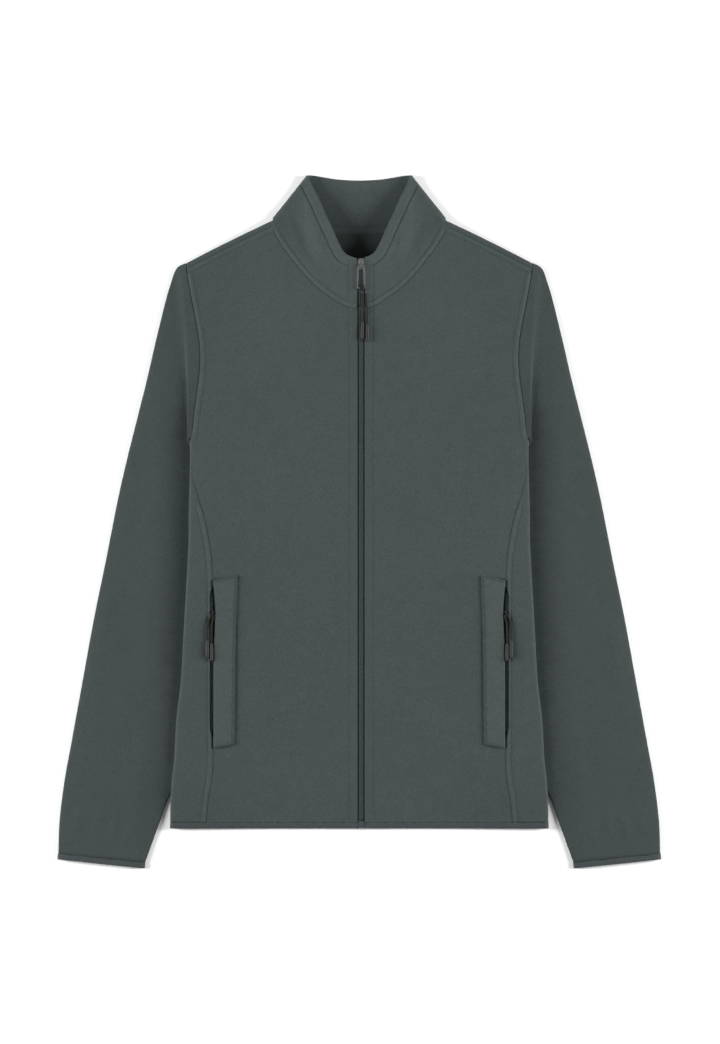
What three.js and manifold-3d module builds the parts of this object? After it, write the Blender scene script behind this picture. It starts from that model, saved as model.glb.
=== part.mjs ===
import * as THREE from 'three';
import { mergeVertices } from 'three/addons/utils/BufferGeometryUtils.js';
import Module from 'manifold-3d';

// A full-zip fleece jacket, lying flat on its back with the front up and the arms beside the body.
// Lengths are millimetres. +X is the viewer's right, +Y runs from the hem to the collar and +Z is up.
// Z = 0 is the surface that the jacket lies on, and the origin is under the middle of its outline.
// The wearer's right half is on the viewer's left, at negative X. A width is measured from X = 0.

// Cloth, trim and the gaps between sewn pieces
const CLOTH = 2.2;
const COLLAR_CLOTH = 2.6;
const CUFF_BINDING = 2.8;
const HEM_BINDING = 2.4;
const TAPE = 0.7;
const WELT = 1.8;
const SEAM = 0.3;
const COLLAR_SEAM = 0.6;

// How the two layers of the body lie on each other
const HEM_Y = -337;
const BINDING_WIDTH = 6;
const HEM_BINDING_LIFT = 0.3;
const HEM_BINDING_SINK = 0.12;
const CUFF_BINDING_WIDTH = 5.8;
const CUFF_DRIFT = 0.55;
const FLAT_SPREAD = 3.1;
const FOLD_SPREAD = 5.6;
const FOLD_REACH = 60;
const ZIP_ROOM = 1.8;
const ZIP_ROOM_REACH = 30;
const DRAPE_START = 95;
const DRAPE_END = 148;

// The standing collar lifts the front of the neck off the back of it
const NECK_LOFT = 18;
const NECK_LOFT_WIDTH = 150;
const NECK_LOFT_BOTTOM = 120;
const NECK_LOFT_TOP = 240;
const COLLAR_RISE = 0.206;
const COLLAR_RISE_WIDTH = 60;
const COLLAR_SETTLE = 6;
const COLLAR_TOP_Y = 286;

// Zip down the front, a little to one side of the middle
const ZIP_X = 1.95;
const ZIP_CLEAR = 3.85;
const ZIP_CHAIN_WIDTH = 5.2;
const ZIP_CHAIN_HEIGHT = 1.9;
const ZIP_TAPE_WIDTH = 11;
const ZIP_CHAIN_TOP = 285;
const ZIP_CHAIN_START = 9;
const ZIP_CHAIN_DROP = 0.4;
const ZIP_BOX = { width: 6.6, length: 7.6, height: 2.4, above: 4.2 };
const TAPE_DROP = 2.1;
const NECK_TAPE_DROP = 1;

// Shoulders
const NECK_POINT = { x: 96, y: 330.5 };
const SHOULDER_SLOPE = 0.492;
const SHOULDER_BOW = 0.8;
const SHOULDER_END = 190;
const FORWARD_SEAM = 5.6;

// One row for each level of the body, from the hem up: the visible side edge, how far the underside
// lies off the surface there, and the cloth's length from the side fold to the front side seam or
// armhole seam (seam) and to the back one (back)
const BODY = [
  { y: -337, edge: 208, lift: 1.4, seam: 39, back: 36 },
  { y: -306, edge: 207.5, lift: 4.6, seam: 42, back: 36 },
  { y: -284, edge: 206, lift: 5.6, seam: 44, back: 36 },
  { y: -262, edge: 203.5, lift: 5.6, seam: 43, back: 35 },
  { y: -218, edge: 201, lift: 5.6, seam: 40.5, back: 34 },
  { y: -174, edge: 196, lift: 5.6, seam: 35.5, back: 33 },
  { y: -130, edge: 193.5, lift: 5.6, seam: 33, back: 31 },
  { y: -86, edge: 191, lift: 5.6, seam: 30.5, back: 29 },
  { y: -42, edge: 188.5, lift: 5.6, seam: 26.5, back: 25 },
  { y: -20, edge: 187.5, lift: 5.6, seam: 22.5, back: 21 },
  { y: 2, edge: 187.5, lift: 5.6, seam: 18, back: 17 },
  { y: 24, edge: 187, lift: 5.6, seam: 11.5, back: 11 },
  { y: 46, edge: 186.5, lift: 5.6, seam: 5, back: 5.5 },
  { y: 68, edge: 186, lift: 5.6, seam: 2.5, back: 2.5 },
  { y: 90, edge: 186.5, lift: 5, seam: 2.5, back: 2.5 },
  { y: 98, edge: 187, lift: 4.7, seam: 4.6, back: 4.6 },
  { y: 111, edge: 187.5, lift: 4, seam: 6.2, back: 6.5 },
  { y: 134, edge: 188.5, lift: 2.8, seam: 10, back: 10.5 },
  { y: 156, edge: 189.5, lift: 1.7, seam: 14, back: 13.5 },
  { y: 178, edge: 190, lift: 0.9, seam: 16, back: 15 },
  { y: 200, edge: 190.5, lift: 0.3, seam: 15.3, back: 14.5 },
  { y: 222, edge: 192, lift: 0, seam: 13, back: 13 },
  { y: 244, edge: 195, lift: 0, seam: 11.7, back: 12 },
  { y: 275, edge: 201.5, lift: 0, seam: 12.6, back: 12.6 },
];
const ARMPIT_Y = 90;
const ARM_TOP_Y = 275;

// Levels where the panels are bent along their side seams and armholes, the same in each panel
const SIDE_LEVELS = [
  -330.7, -306, -284, -262, -246, -233, -190, -130, -76, -64, -42, -20, 2, 24, 46, 68, 89.7,
];
const ARM_LEVELS = [94, 98, 104, 111, 122, 134, 156, 178, 200, 222, 238, 256, 275];

// The neck seam, from the middle of the front to the neck point
const NECK_SEAM = [
  { x: 0, y: 233.5 },
  { x: 6, y: 234 },
  { x: 19, y: 238.5 },
  { x: 32, y: 247 },
  { x: 45.5, y: 257 },
  { x: 58.5, y: 270 },
  { x: 72, y: 286.5 },
  { x: 85, y: 304 },
  { x: 91.5, y: 315 },
  { x: 96, y: 323 },
];

// The back neck seam, from the middle of the back to the neck point
const BACK_NECK = [
  { x: 0, y: 315 },
  { x: 40, y: 317.5 },
  { x: 70, y: 322.5 },
  { x: 92, y: 328 },
];

// The collar, one row for each station of half its length from the middle of the back (at 0) round the
// fold to the middle of the front (at 1). raise says how much of the front's height a station has.
const COLLAR = [
  { at: 0, baseX: 0, baseY: 315, topX: 0, topY: 374.5, raise: 0 },
  { at: 0.13, baseX: 28, baseY: 316, topX: 21, topY: 375.5, raise: 0 },
  { at: 0.26, baseX: 56, baseY: 319.5, topX: 38, topY: 378, raise: 0 },
  { at: 0.37, baseX: 80, baseY: 326, topX: 49, topY: 380, raise: 0.02 },
  { at: 0.42, baseX: 88.3, baseY: 331.6, topX: 54.5, topY: 380.3, raise: 0.14 },
  { at: 0.45, baseX: 92, baseY: 333.6, topX: 57.3, topY: 379, raise: 0.5 },
  { at: 0.48, baseX: 91.6, baseY: 326.5, topX: 56, topY: 376, raise: 0.88 },
  { at: 0.53, baseX: 88.5, baseY: 310, topX: 51.5, topY: 367, raise: 1 },
  { at: 0.6, baseX: 78.5, baseY: 295, topX: 44, topY: 352, raise: 1 },
  { at: 0.68, baseX: 65, baseY: 277.5, topX: 37, topY: 336, raise: 1 },
  { at: 0.76, baseX: 52, baseY: 263.2, topX: 30, topY: 321, raise: 1 },
  { at: 0.84, baseX: 38.5, baseY: 251.6, topX: 24, topY: 307, raise: 1 },
  { at: 0.92, baseX: 22, baseY: 240.3, topX: 15.5, topY: 293, raise: 1 },
  { at: 1, baseX: 0, baseY: 233.8, topX: 0, topY: 286, raise: 1 },
];

// The sleeve, one row for each ring from just outside the armhole to the cuff. inner is the fold that
// runs from the armpit under the body's side, outer is the fold along the arm's outside. front and back
// say how much of the body's height the two layers still have there, and bow how far the ring swings
// in towards the body between its ends.
const SLEEVE = [
  { innerX: 191.5, innerY: 90.5, innerZ: 8.6, outerX: 195.5, outerY: 281, outerZ: 3.9,
    front: 1, back: 0.9, bow: 5.5 },
  { innerX: 193.5, innerY: 84, innerZ: 6.8, outerX: 199, outerY: 278.5, outerZ: 3.8,
    front: 0.6, back: 0.7, bow: 4.5 },
  { innerX: 195, innerY: 73, innerZ: 4.3, outerX: 202, outerY: 274, outerZ: 3.6,
    front: 0.12, back: 0.45, bow: 3.5 },
  { innerX: 193, innerY: 52, innerZ: 2.7, outerX: 205.5, outerY: 264, outerZ: 3.4,
    front: 0, back: 0.2, bow: 0 },
  { innerX: 186, innerY: 30, innerZ: 2.45, outerX: 211.5, outerY: 244, outerZ: 3.2,
    front: 0, back: 0, bow: 0 },
  { innerX: 176, innerY: 0, innerZ: 2.45, outerX: 222.5, outerY: 199.5, outerZ: 3,
    front: 0, back: 0, bow: 0 },
  { innerX: 165, innerY: -30, innerZ: 2.45, outerX: 232.5, outerY: 156, outerZ: 3,
    front: 0, back: 0, bow: 0 },
  { innerX: 156, innerY: -60, innerZ: 2.45, outerX: 243.5, outerY: 112, outerZ: 3,
    front: 0, back: 0, bow: 0 },
  { innerX: 152, innerY: -92, innerZ: 2.45, outerX: 254.5, outerY: 68, outerZ: 3,
    front: 0, back: 0, bow: 0 },
  { innerX: 151.5, innerY: -125, innerZ: 2.45, outerX: 264.5, outerY: 24, outerZ: 3,
    front: 0, back: 0, bow: 0 },
  { innerX: 155, innerY: -165, innerZ: 2.45, outerX: 277.5, outerY: -42, outerZ: 3,
    front: 0, back: 0, bow: 0 },
  { innerX: 163, innerY: -205, innerZ: 2.45, outerX: 291, outerY: -108, outerZ: 3,
    front: 0, back: 0, bow: 0 },
  { innerX: 175, innerY: -240, innerZ: 2.45, outerX: 303, outerY: -174, outerZ: 3,
    front: 0, back: 0, bow: 0 },
  { innerX: 190, innerY: -272, innerZ: 2.45, outerX: 315, outerY: -240, outerZ: 3,
    front: 0, back: 0, bow: 0 },
  { innerX: 208.5, innerY: -299.5, innerZ: 2.45, outerX: 323, outerY: -284, outerZ: 3,
    front: 0, back: 0, bow: 0 },
  { innerX: 220.5, innerY: -331, innerZ: 2.5, outerX: 328.5, outerY: -328, outerZ: 3,
    front: 0, back: 0, bow: 0 },
  { innerX: 236.4, innerY: -375, innerZ: 2.6, outerX: 330, outerY: -365.2, outerZ: 3,
    front: 0, back: 0, bow: 0 },
];
const SLEEVE_FLAT_SPREAD = 2.7;
const SLEEVE_CROWN = 3.1;
const SLEEVE_CROWN_START = 6;
const SLEEVE_CROWN_REACH = 35;
const SLEEVE_HALF_POINTS = 12;
const SLEEVE_SEAM = 0.6;
const ARMPIT_GAP = 1.6;

// Pocket, on each side
const POCKET_TOP = -66;
const POCKET_BOTTOM = -243;
const POCKET_RAMP = 10;
const POCKET_FRONT_GAPE = 3.4;
const POCKET_SIDE_GAPE = 4;
const POCKET_TAPE = { out: 167.5, in: 155.5 };
const POCKET_CHAIN = { x: 162, width: 3.6, height: 1.3, short: 12 };
const WELT_SLANT = 4.6;
const WELT_ROWS = [
  { y: -247, out: 159.8, in: 137 },
  { y: -241, out: 159.8, in: 137 },
  { y: -140, out: 159.6, in: 136 },
  { y: -112, out: 158.3, in: 135.5 },
  { y: -94, out: 157.7, in: 134.9 },
  { y: -80, out: 158.8, in: 134.3 },
  { y: -62, out: 160.3, in: 133.6 },
];

// Zip slider and pull tab, in the tab's own frame: the hinge at its origin and its length along -Y
const SLIDER = { x: 1.95, low: 275.2, high: 287, width: 6.8, plate: 1.4, over: 0.9 };
const HINGE_Y = 279.2;
const BRIDGE = { width: 2.4, outer: 2.5, hole: 1.35, rise: 1.6 };
const TAB = { top: 1.0, length: 25, topWidth: 7.8, endWidth: 9.6, bar: 1.6, thick: 1.4, endBar: 1.5 };
const TAB_SLOPE = 0.2;
const KNOT = { width: 5.4, length: 6.4, half: 1.75 };

// Cords of the pulls and their rubber ends
const CORD = 2.2;
const CORD_SIDES = 8;
const TIP_LENGTH = 20;
const TIP_RADIUS = 2.1;
const ZIP_CORD_A = [
  [4.3, 249.6, 29.7], [4.5, 244, 28.7], [4.7, 238, 27.7], [4.4, 231, 26.9],
  [4.0, 225.5, 26.2], [3.8, 219.2, 25.4],
];
const ZIP_CORD_B = [
  [7.0, 249.6, 29.8], [7.5, 243, 28.7], [8.1, 236, 27.7], [8.5, 229, 27.0],
  [8.7, 222, 26.2], [8.8, 216.6, 25.4],
];
const POCKET_CORD_A = [
  [159.7, -98.5, 13.7], [162.2, -102.2, 13.8], [164.8, -107, 14], [166.4, -113, 14.3],
  [166.8, -121, 14.8], [166.7, -130, 14.9],
];
const POCKET_CORD_B = [
  [159.5, -102.6, 13.7], [160.6, -106.6, 13.7], [161.8, -111.5, 13.8], [162.3, -118, 14.1],
  [162.3, -125, 14.5], [162.2, -133, 14.6],
];

// Colours
const FLEECE = new THREE.MeshStandardMaterial({ color: 0x4a5352, roughness: 0.95, metalness: 0 });
const FLEECE_INSIDE = new THREE.MeshStandardMaterial({ color: 0x424b4a, roughness: 0.95, metalness: 0 });
const TRIM = new THREE.MeshStandardMaterial({ color: 0x464e4f, roughness: 0.8, metalness: 0 });
const ZIP_CLOTH = new THREE.MeshStandardMaterial({ color: 0x373f40, roughness: 0.8, metalness: 0 });
const ZIP_COIL = new THREE.MeshStandardMaterial({ color: 0x30383a, roughness: 0.5, metalness: 0 });
const METAL = new THREE.MeshStandardMaterial({ color: 0x5d6462, roughness: 0.4, metalness: 0.8 });
const CORD_CLOTH = new THREE.MeshStandardMaterial({ color: 0x252621, roughness: 0.8, metalness: 0 });
const RUBBER = new THREE.MeshStandardMaterial({ color: 0x383938, roughness: 0.6, metalness: 0 });

const wasm = await Module();
wasm.setup();
const jacket = new THREE.Group();

function clamp01(t) {
  return Math.min(Math.max(t, 0), 1);
}

function mix(a, b, t) {
  return a + (b - a) * t;
}

function ease(t) {
  const c = clamp01(t);
  return c * c * (3 - 2 * c);
}

function steps(count, from = 0, to = 1) {
  return Array.from({ length: count + 1 }, (_, i) => mix(from, to, i / count));
}

// Reads a column of a table between its rows, on a smooth curve through them
function read(table, key, at, column) {
  const last = table.length - 1;
  let i = 0;
  while (i < last - 1 && at > table[i + 1][key]) i += 1;
  const a = table[i];
  const b = table[i + 1];
  const span = b[key] - a[key];
  const t = clamp01((at - a[key]) / span);
  const before = table[Math.max(i - 1, 0)];
  const after = table[Math.min(i + 2, last)];
  const slopeA = (b[column] - before[column]) / (b[key] - before[key]);
  const slopeB = (after[column] - a[column]) / (after[key] - a[key]);
  const square = t * t;
  const cube = square * t;
  return (2 * cube - 3 * square + 1) * a[column] + (cube - 2 * square + t) * span * slopeA
    + (3 * square - 2 * cube) * b[column] + (cube - square) * span * slopeB;
}

// The body's two layers, as heights of the middle of the cloth
const FOLD_RADIUS = FOLD_SPREAD / 2;
const QUARTER = (Math.PI / 2) * FOLD_RADIUS;

function edgeAt(y) {
  return read(BODY, 'y', y, 'edge') - CLOTH / 2;
}

function shoulderAt(width) {
  const along = width - NECK_POINT.x;
  const bow = SHOULDER_BOW * Math.sin(Math.PI * clamp01(along / (SHOULDER_END - NECK_POINT.x)));
  return NECK_POINT.y - CLOTH / 2 - SHOULDER_SLOPE * along + bow;
}

// 1 on the flat of the body, falling to 0 at the outline of the shoulder along a quarter round
function shoulderRound(width, y) {
  const over = clamp01((y - shoulderAt(width) + FOLD_RADIUS) / FOLD_RADIUS);
  return Math.sqrt(1 - over * over);
}

function neckLoft(x, y) {
  const across = ease(1 - Math.abs(x) / NECK_LOFT_WIDTH);
  return NECK_LOFT * across * ease((y - NECK_LOFT_BOTTOM) / (NECK_LOFT_TOP - NECK_LOFT_BOTTOM));
}

function flatBack(x, y) {
  const drape = ease((Math.abs(x) - DRAPE_START) / (DRAPE_END - DRAPE_START));
  return CLOTH / 2 + read(BODY, 'y', y, 'lift') * drape;
}

function flatFront(x, y) {
  const width = Math.abs(x);
  const nearSide = ease(1 - (edgeAt(y) - width) / FOLD_REACH);
  const nearShoulder = ease(1 - (shoulderAt(width) - y) / FOLD_REACH);
  const nearFold = 1 - (1 - nearSide) * (1 - nearShoulder);
  const zipRoom = ZIP_ROOM * ease(1 - Math.abs(x - ZIP_X) / ZIP_ROOM_REACH);
  return flatBack(x, y) + mix(FLAT_SPREAD, FOLD_SPREAD, nearFold) + zipRoom + neckLoft(x, y);
}

function layerHeight(x, y, front) {
  const low = flatBack(x, y);
  const high = flatFront(x, y);
  const middle = (low + high) / 2;
  const half = (high - low) / 2 * shoulderRound(Math.abs(x), y);
  return front ? middle + half : middle - half;
}

function neckSeamAt(x) {
  return read(NECK_SEAM, 'x', Math.abs(x), 'y');
}

// Height of the front, and above its neck seam that of the front of the collar
function topHeight(x, y) {
  const seam = neckSeamAt(x);
  if (y <= seam) return layerHeight(x, y, true);
  const rise = COLLAR_RISE * clamp01(1 - Math.abs(x) / COLLAR_RISE_WIDTH);
  return layerHeight(x, seam, true) + rise * (y - seam) - COLLAR_SETTLE * ease((y - 300) / 75);
}

// A point of the body at a level, by the cloth's length from the side fold: front positive, back negative
function bodyPoint(side, y, length) {
  const edge = edgeAt(y);
  const front = length > 0;
  const run = Math.abs(length);
  if (run >= QUARTER) {
    const x = side * (edge - FOLD_RADIUS - (run - QUARTER));
    return new THREE.Vector3(x, y, layerHeight(x, y, front));
  }
  const angle = run / FOLD_RADIUS;
  const inner = side * (edge - FOLD_RADIUS);
  const high = layerHeight(inner, y, true);
  const low = layerHeight(inner, y, false);
  const swing = (high - low) / 2 * Math.sin(angle) * (front ? 1 : -1);
  const x = side * (edge - FOLD_RADIUS + FOLD_RADIUS * Math.cos(angle));
  return new THREE.Vector3(x, y, (high + low) / 2 + swing);
}

function lengthTo(width, y) {
  return edgeAt(y) - FOLD_RADIUS + QUARTER - width;
}

// Geometry from points and faces of three or four corners
function bodyGeometry(points, faces) {
  const geometry = new THREE.BufferGeometry();
  const positions = points.flatMap((point) => [point.x, point.y, point.z]);
  const index = faces.flatMap(([a, b, c, d]) => (d === undefined ? [a, b, c] : [a, b, c, a, c, d]));
  geometry.setAttribute('position', new THREE.Float32BufferAttribute(positions, 3));
  geometry.setIndex(index);
  geometry.computeVertexNormals();
  return geometry;
}

// A closed wall round a surface: point(u, v) is the middle of the cloth. A ring closes on itself in u.
function wall(point, us, vs, thickness, ring = false) {
  const columns = us.length;
  const small = 1e-4;
  const across = (u, v) => {
    const low = ring ? u - small : Math.max(u - small, us[0]);
    const high = ring ? u + small : Math.min(u + small, us[columns - 1]);
    return point(high, v).sub(point(low, v));
  };
  const along = (u, v) => {
    const low = Math.max(v - small, vs[0]);
    const high = Math.min(v + small, vs[vs.length - 1]);
    return point(u, high).sub(point(u, low));
  };
  const outer = [];
  const inner = [];
  for (const v of vs) {
    for (const u of us) {
      const normal = across(u, v).cross(along(u, v)).normalize().multiplyScalar(thickness / 2);
      outer.push(point(u, v).add(normal));
      inner.push(point(u, v).sub(normal));
    }
  }
  const offset = outer.length;
  const at = (i, j) => (i % columns) + j * columns;
  const faces = [];
  const cells = ring ? columns : columns - 1;
  const rows = vs.length - 1;
  for (let j = 0; j < rows; j += 1) {
    for (let i = 0; i < cells; i += 1) {
      const cell = [at(i, j), at(i + 1, j), at(i + 1, j + 1), at(i, j + 1)];
      faces.push(cell);
      faces.push(cell.map((corner) => corner + offset).reverse());
    }
    if (!ring) {
      faces.push([at(0, j), at(0, j + 1), at(0, j + 1) + offset, at(0, j) + offset]);
      faces.push([at(cells, j) + offset, at(cells, j + 1) + offset, at(cells, j + 1), at(cells, j)]);
    }
  }
  for (let i = 0; i < cells; i += 1) {
    faces.push([at(i, 0) + offset, at(i + 1, 0) + offset, at(i + 1, 0), at(i, 0)]);
    faces.push([at(i, rows), at(i + 1, rows), at(i + 1, rows) + offset, at(i, rows) + offset]);
  }
  return bodyGeometry([...outer, ...inner], faces);
}

function addPiece(name, geometry, material, group = jacket) {
  const mesh = new THREE.Mesh(geometry, material);
  mesh.name = name;
  group.add(mesh);
  return mesh;
}

// Runs a maker for the wearer's right (viewer's left) and left halves
function bothSides(make) {
  make(-1, 'right');
  make(1, 'left');
}

function zipEdge(side) {
  return ZIP_CLEAR + side * ZIP_X;
}

// How far the pocket mouth is open at a level, from 0 to 1
function pocketGape(y) {
  return ease((y - POCKET_BOTTOM) / POCKET_RAMP) * ease((POCKET_TOP - y) / POCKET_RAMP);
}

// The levels up to a top one, as shares of the way from the panels' lower edge to it
const PANEL_LOW = HEM_Y + BINDING_WIDTH + SEAM;
function levelShares(top) {
  const levels = [...SIDE_LEVELS, ...ARM_LEVELS].filter((y) => y <= top + 0.01);
  return levels.map((y) => clamp01((y - PANEL_LOW) / (top - PANEL_LOW)));
}

function frontSeamLength(y) {
  return read(BODY, 'y', y, 'seam');
}

// Front panel: from the side seam and armhole (u = 0) to the zip (u = 1), and from the hem to the
// forward shoulder seam and the neck seam
function addFrontPanel(side, name) {
  const sideLength = (y) => frontSeamLength(y) + SEAM / 2 + POCKET_FRONT_GAPE * pocketGape(y);
  const sideWidth = (y) => edgeAt(y) - FOLD_RADIUS + QUARTER - sideLength(y);
  const topWidth = sideWidth(ARM_TOP_Y);
  const shoulderShare = (topWidth - NECK_POINT.x) / (topWidth - zipEdge(side));
  const topAt = (width) => {
    if (width < NECK_POINT.x) return neckSeamAt(width);
    return shoulderAt(width) - FORWARD_SEAM - SEAM / 2;
  };
  const point = (u, v) => {
    const y = mix(PANEL_LOW, topAt(mix(topWidth, zipEdge(side), u)), v);
    const width = mix(sideWidth(mix(PANEL_LOW, ARM_TOP_Y, v)), zipEdge(side), u);
    return bodyPoint(side, y, lengthTo(width, y));
  };
  const us = [...steps(4, 0, shoulderShare), ...steps(9, shoulderShare, 1).slice(1)];
  addPiece(name, wall(point, us, levelShares(ARM_TOP_Y), CLOTH), FLEECE);
}

// Side panel: a narrow strip round the side fold, from the front side seam to the back one
function addSidePanel(side, name) {
  const point = (u, v) => {
    const y = mix(PANEL_LOW, ARMPIT_Y - SEAM, v);
    const front = frontSeamLength(y) - SEAM / 2 - POCKET_SIDE_GAPE * pocketGape(y);
    const back = SEAM - read(BODY, 'y', y, 'back');
    if (u < 0.25) return bodyPoint(side, y, mix(front, Math.min(QUARTER, front), u / 0.25));
    if (u > 0.75) return bodyPoint(side, y, mix(Math.max(-QUARTER, back), back, (u - 0.75) / 0.25));
    return bodyPoint(side, y, mix(Math.min(QUARTER, front), Math.max(-QUARTER, back), (u - 0.25) / 0.5));
  };
  const us = [0, 0.1, 0.2, 0.3, 0.4, 0.5, 0.6, 0.7, 0.8, 0.9, 1];
  addPiece(name, wall(point, us, levelShares(ARMPIT_Y - SEAM), CLOTH), FLEECE);
}

// Back panel: up the back, then over the shoulder fold to the forward shoulder seam, or to the back neck
function backNeckAt(width) {
  return read(BACK_NECK, 'x', width, 'y');
}

function addBackPanel() {
  const neckStart = 92;
  const neckEnd = 98;
  const approach = 12;
  const overPart = 0.7;
  const roundPart = 0.6;
  const sideTop = shoulderAt(SHOULDER_END) - FOLD_RADIUS - approach;
  const overShoulder = (width, share) => {
    const angle = Math.PI * Math.min(share / roundPart, 1);
    const past = Math.max((share - roundPart) / (1 - roundPart), 0);
    const drop = (FORWARD_SEAM - FOLD_RADIUS - SEAM) * past;
    const y = shoulderAt(width) - FOLD_RADIUS + FOLD_RADIUS * Math.sin(angle) - drop;
    return { y, front: share > roundPart / 2 };
  };
  const point = (u, v) => {
    const side = u < 0 ? -1 : 1;
    const m = Math.abs(u);
    const topWidth = m * SHOULDER_END;
    const reach = clamp01((topWidth - neckStart) / (neckEnd - neckStart));
    const backTop = mix(backNeckAt(topWidth) - SEAM, shoulderAt(topWidth) - FOLD_RADIUS, reach);
    const above = v - 1;
    const split = 1 - overPart * reach;
    let y = mix(PANEL_LOW, backTop - approach, Math.min(v, 1));
    let front = false;
    if (v > 1) y = mix(backTop - approach, backTop, Math.min(above / split, 1));
    if (v > 1 && above > split) {
      const over = overShoulder(topWidth, (above - split) / overPart);
      y = over.y;
      front = over.front;
    }
    const sideY = v <= 1 ? mix(PANEL_LOW, sideTop, v) : Math.max(y, sideTop);
    const back = read(BODY, 'y', sideY, 'back') + SEAM / 2;
    const length = mix(lengthTo(0, y), back, m);
    if (v <= 1) return bodyPoint(side, y, -length);
    const x = side * (edgeAt(Math.min(y, ARM_TOP_Y)) - FOLD_RADIUS + QUARTER - length);
    return new THREE.Vector3(x, y, layerHeight(x, y, front));
  };
  const neckColumns = [neckStart / SHOULDER_END, 0.495, 0.505, neckEnd / SHOULDER_END];
  const half = [0.15, 0.3, 0.4, ...neckColumns, 0.6, 0.7, 0.8, 0.9, 1];
  const us = [...half.map((m) => -m).reverse(), 0, ...half];
  const flat = levelShares(sideTop);
  const folded = [1, 1.15, 1.3, 1.38, 1.46, 1.54, 1.62, 1.72, 2];
  addPiece('back_panel', wall(point, us, [...flat, ...folded], CLOTH), FLEECE);
}

// A ring of the sleeve goes from the inner fold over the front to the outer fold and back underneath
function ringShare(turn) {
  const angle = 2 * Math.PI * turn;
  return { share: (1 - Math.cos(angle)) / 2, round: Math.cbrt(Math.abs(Math.sin(angle))), front: turn < 0.5 };
}

function armholePoint(side, turn) {
  const { share, front } = ringShare(turn);
  const low = ARMPIT_Y + ARMPIT_GAP;
  const y = mix(low, shoulderAt(SHOULDER_END), share);
  const column = front ? 'seam' : 'back';
  const tuck = Math.sqrt(clamp01((y - low) / 3));
  const length = (read(BODY, 'y', y, column) - SLEEVE_SEAM) * tuck;
  if (length < QUARTER) return bodyPoint(side, y, front ? length : -length);
  const x = side * (edgeAt(Math.min(y, ARM_TOP_Y)) - FOLD_RADIUS + QUARTER - length);
  return new THREE.Vector3(x, y, layerHeight(x, y, front));
}

function sleeveTop(width, y) {
  const crown = SLEEVE_CROWN * ease((width - edgeAt(y) - SLEEVE_CROWN_START) / SLEEVE_CROWN_REACH);
  return CLOTH / 2 + SLEEVE_FLAT_SPREAD + crown;
}

function sleeveRingPoint(side, row, turn) {
  const { share, round, front } = ringShare(turn);
  const width = mix(row.innerX, row.outerX, share) - row.bow * Math.sin(Math.PI * share);
  const y = mix(row.innerY, row.outerY, share);
  const end = mix(row.innerZ, row.outerZ, share);
  const bodyX = side * Math.min(width, edgeAt(y) - FOLD_RADIUS);
  const high = mix(sleeveTop(width, y), layerHeight(bodyX, y, true), row.front);
  const low = mix(CLOTH / 2, layerHeight(bodyX, y, false), row.back);
  return new THREE.Vector3(side * width, y, mix(end, front ? high : low, round));
}

function sleevePoint(side, turn, v) {
  const ring = Math.min(Math.floor(v), SLEEVE.length - 1);
  const wrapped = turn - Math.floor(turn);
  const start = ring === 0 ? armholePoint(side, wrapped) : sleeveRingPoint(side, SLEEVE[ring - 1], wrapped);
  return start.lerp(sleeveRingPoint(side, SLEEVE[ring], wrapped), v - ring);
}

function addSleeve(side, name) {
  const turns = steps(2 * SLEEVE_HALF_POINTS).slice(0, -1);
  const rings = steps(SLEEVE.length, 0, SLEEVE.length);
  addPiece(name, wall((u, v) => sleevePoint(side, u, v), turns, rings, CLOTH, true), FLEECE);
}

function addCuffBinding(side, name) {
  const last = SLEEVE[SLEEVE.length - 1];
  const turns = steps(2 * SLEEVE_HALF_POINTS).slice(0, -1);
  const point = (u, v) => {
    const place = sleeveRingPoint(side, last, u - Math.floor(u));
    place.x += side * CUFF_DRIFT * v;
    place.y -= SEAM + CUFF_BINDING_WIDTH * v;
    place.z += (CUFF_BINDING - CLOTH) / 2;
    return place;
  };
  addPiece(name, wall(point, turns, [0, 0.5, 1], CUFF_BINDING, true), TRIM);
}

// The binding round the hem, from one side of the zip round the back to the other
function addHemBinding() {
  const point = (u, v) => {
    const y = mix(HEM_Y, HEM_Y + BINDING_WIDTH, v);
    const side = u < 0 ? -1 : 1;
    const whole = lengthTo(zipEdge(side), y);
    const place = Math.abs(u) < 1 ? bodyPoint(side, y, -mix(lengthTo(0, y), 0, Math.abs(u)))
      : bodyPoint(side, y, whole * (Math.abs(u) - 1));
    place.z += Math.abs(u) < 1 ? HEM_BINDING_LIFT : -HEM_BINDING_SINK;
    return place;
  };
  const fold = [0.965, 0.978, 0.989, 0.9995, 1.011, 1.022, 1.035];
  const half = [0.2, 0.4, 0.5, 0.6, 0.7, 0.8, 0.9, ...fold, 1.1, 1.2, 1.3, 1.4, 1.5, 1.7, 1.85, 1.93, 2];
  const us = [...half.map((u) => -u).reverse(), 0, ...half];
  addPiece('hem_binding', wall(point, us, [0, 0.5, 1], HEM_BINDING), TRIM);
}

// The collar, one strip from the zip round the back of the neck to the zip
function collarPoint(u, v) {
  const side = u < 0 ? -1 : 1;
  const at = Math.abs(u);
  const share = mix(COLLAR_SEAM / 60, 1, v);
  const baseWidth = read(COLLAR, 'at', at, 'baseX');
  const width = mix(baseWidth, read(COLLAR, 'at', at, 'topX'), share);
  const onFront = ease((at - 0.48) / 0.05);
  const onBack = ease((0.4 - at) / 0.03);
  const aroundNeck = mix(read(COLLAR, 'at', at, 'baseY'), neckSeamAt(baseWidth), onFront);
  const baseY = mix(aroundNeck, backNeckAt(baseWidth), onBack);
  const y = mix(baseY, read(COLLAR, 'at', at, 'topY'), share);
  const raise = read(COLLAR, 'at', at, 'raise');
  const x = side * width;
  const reach = Math.min(width, NECK_SEAM[NECK_SEAM.length - 1].x);
  return new THREE.Vector3(x, y, mix(COLLAR_CLOTH / 2, topHeight(side * reach, y), raise));
}

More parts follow.
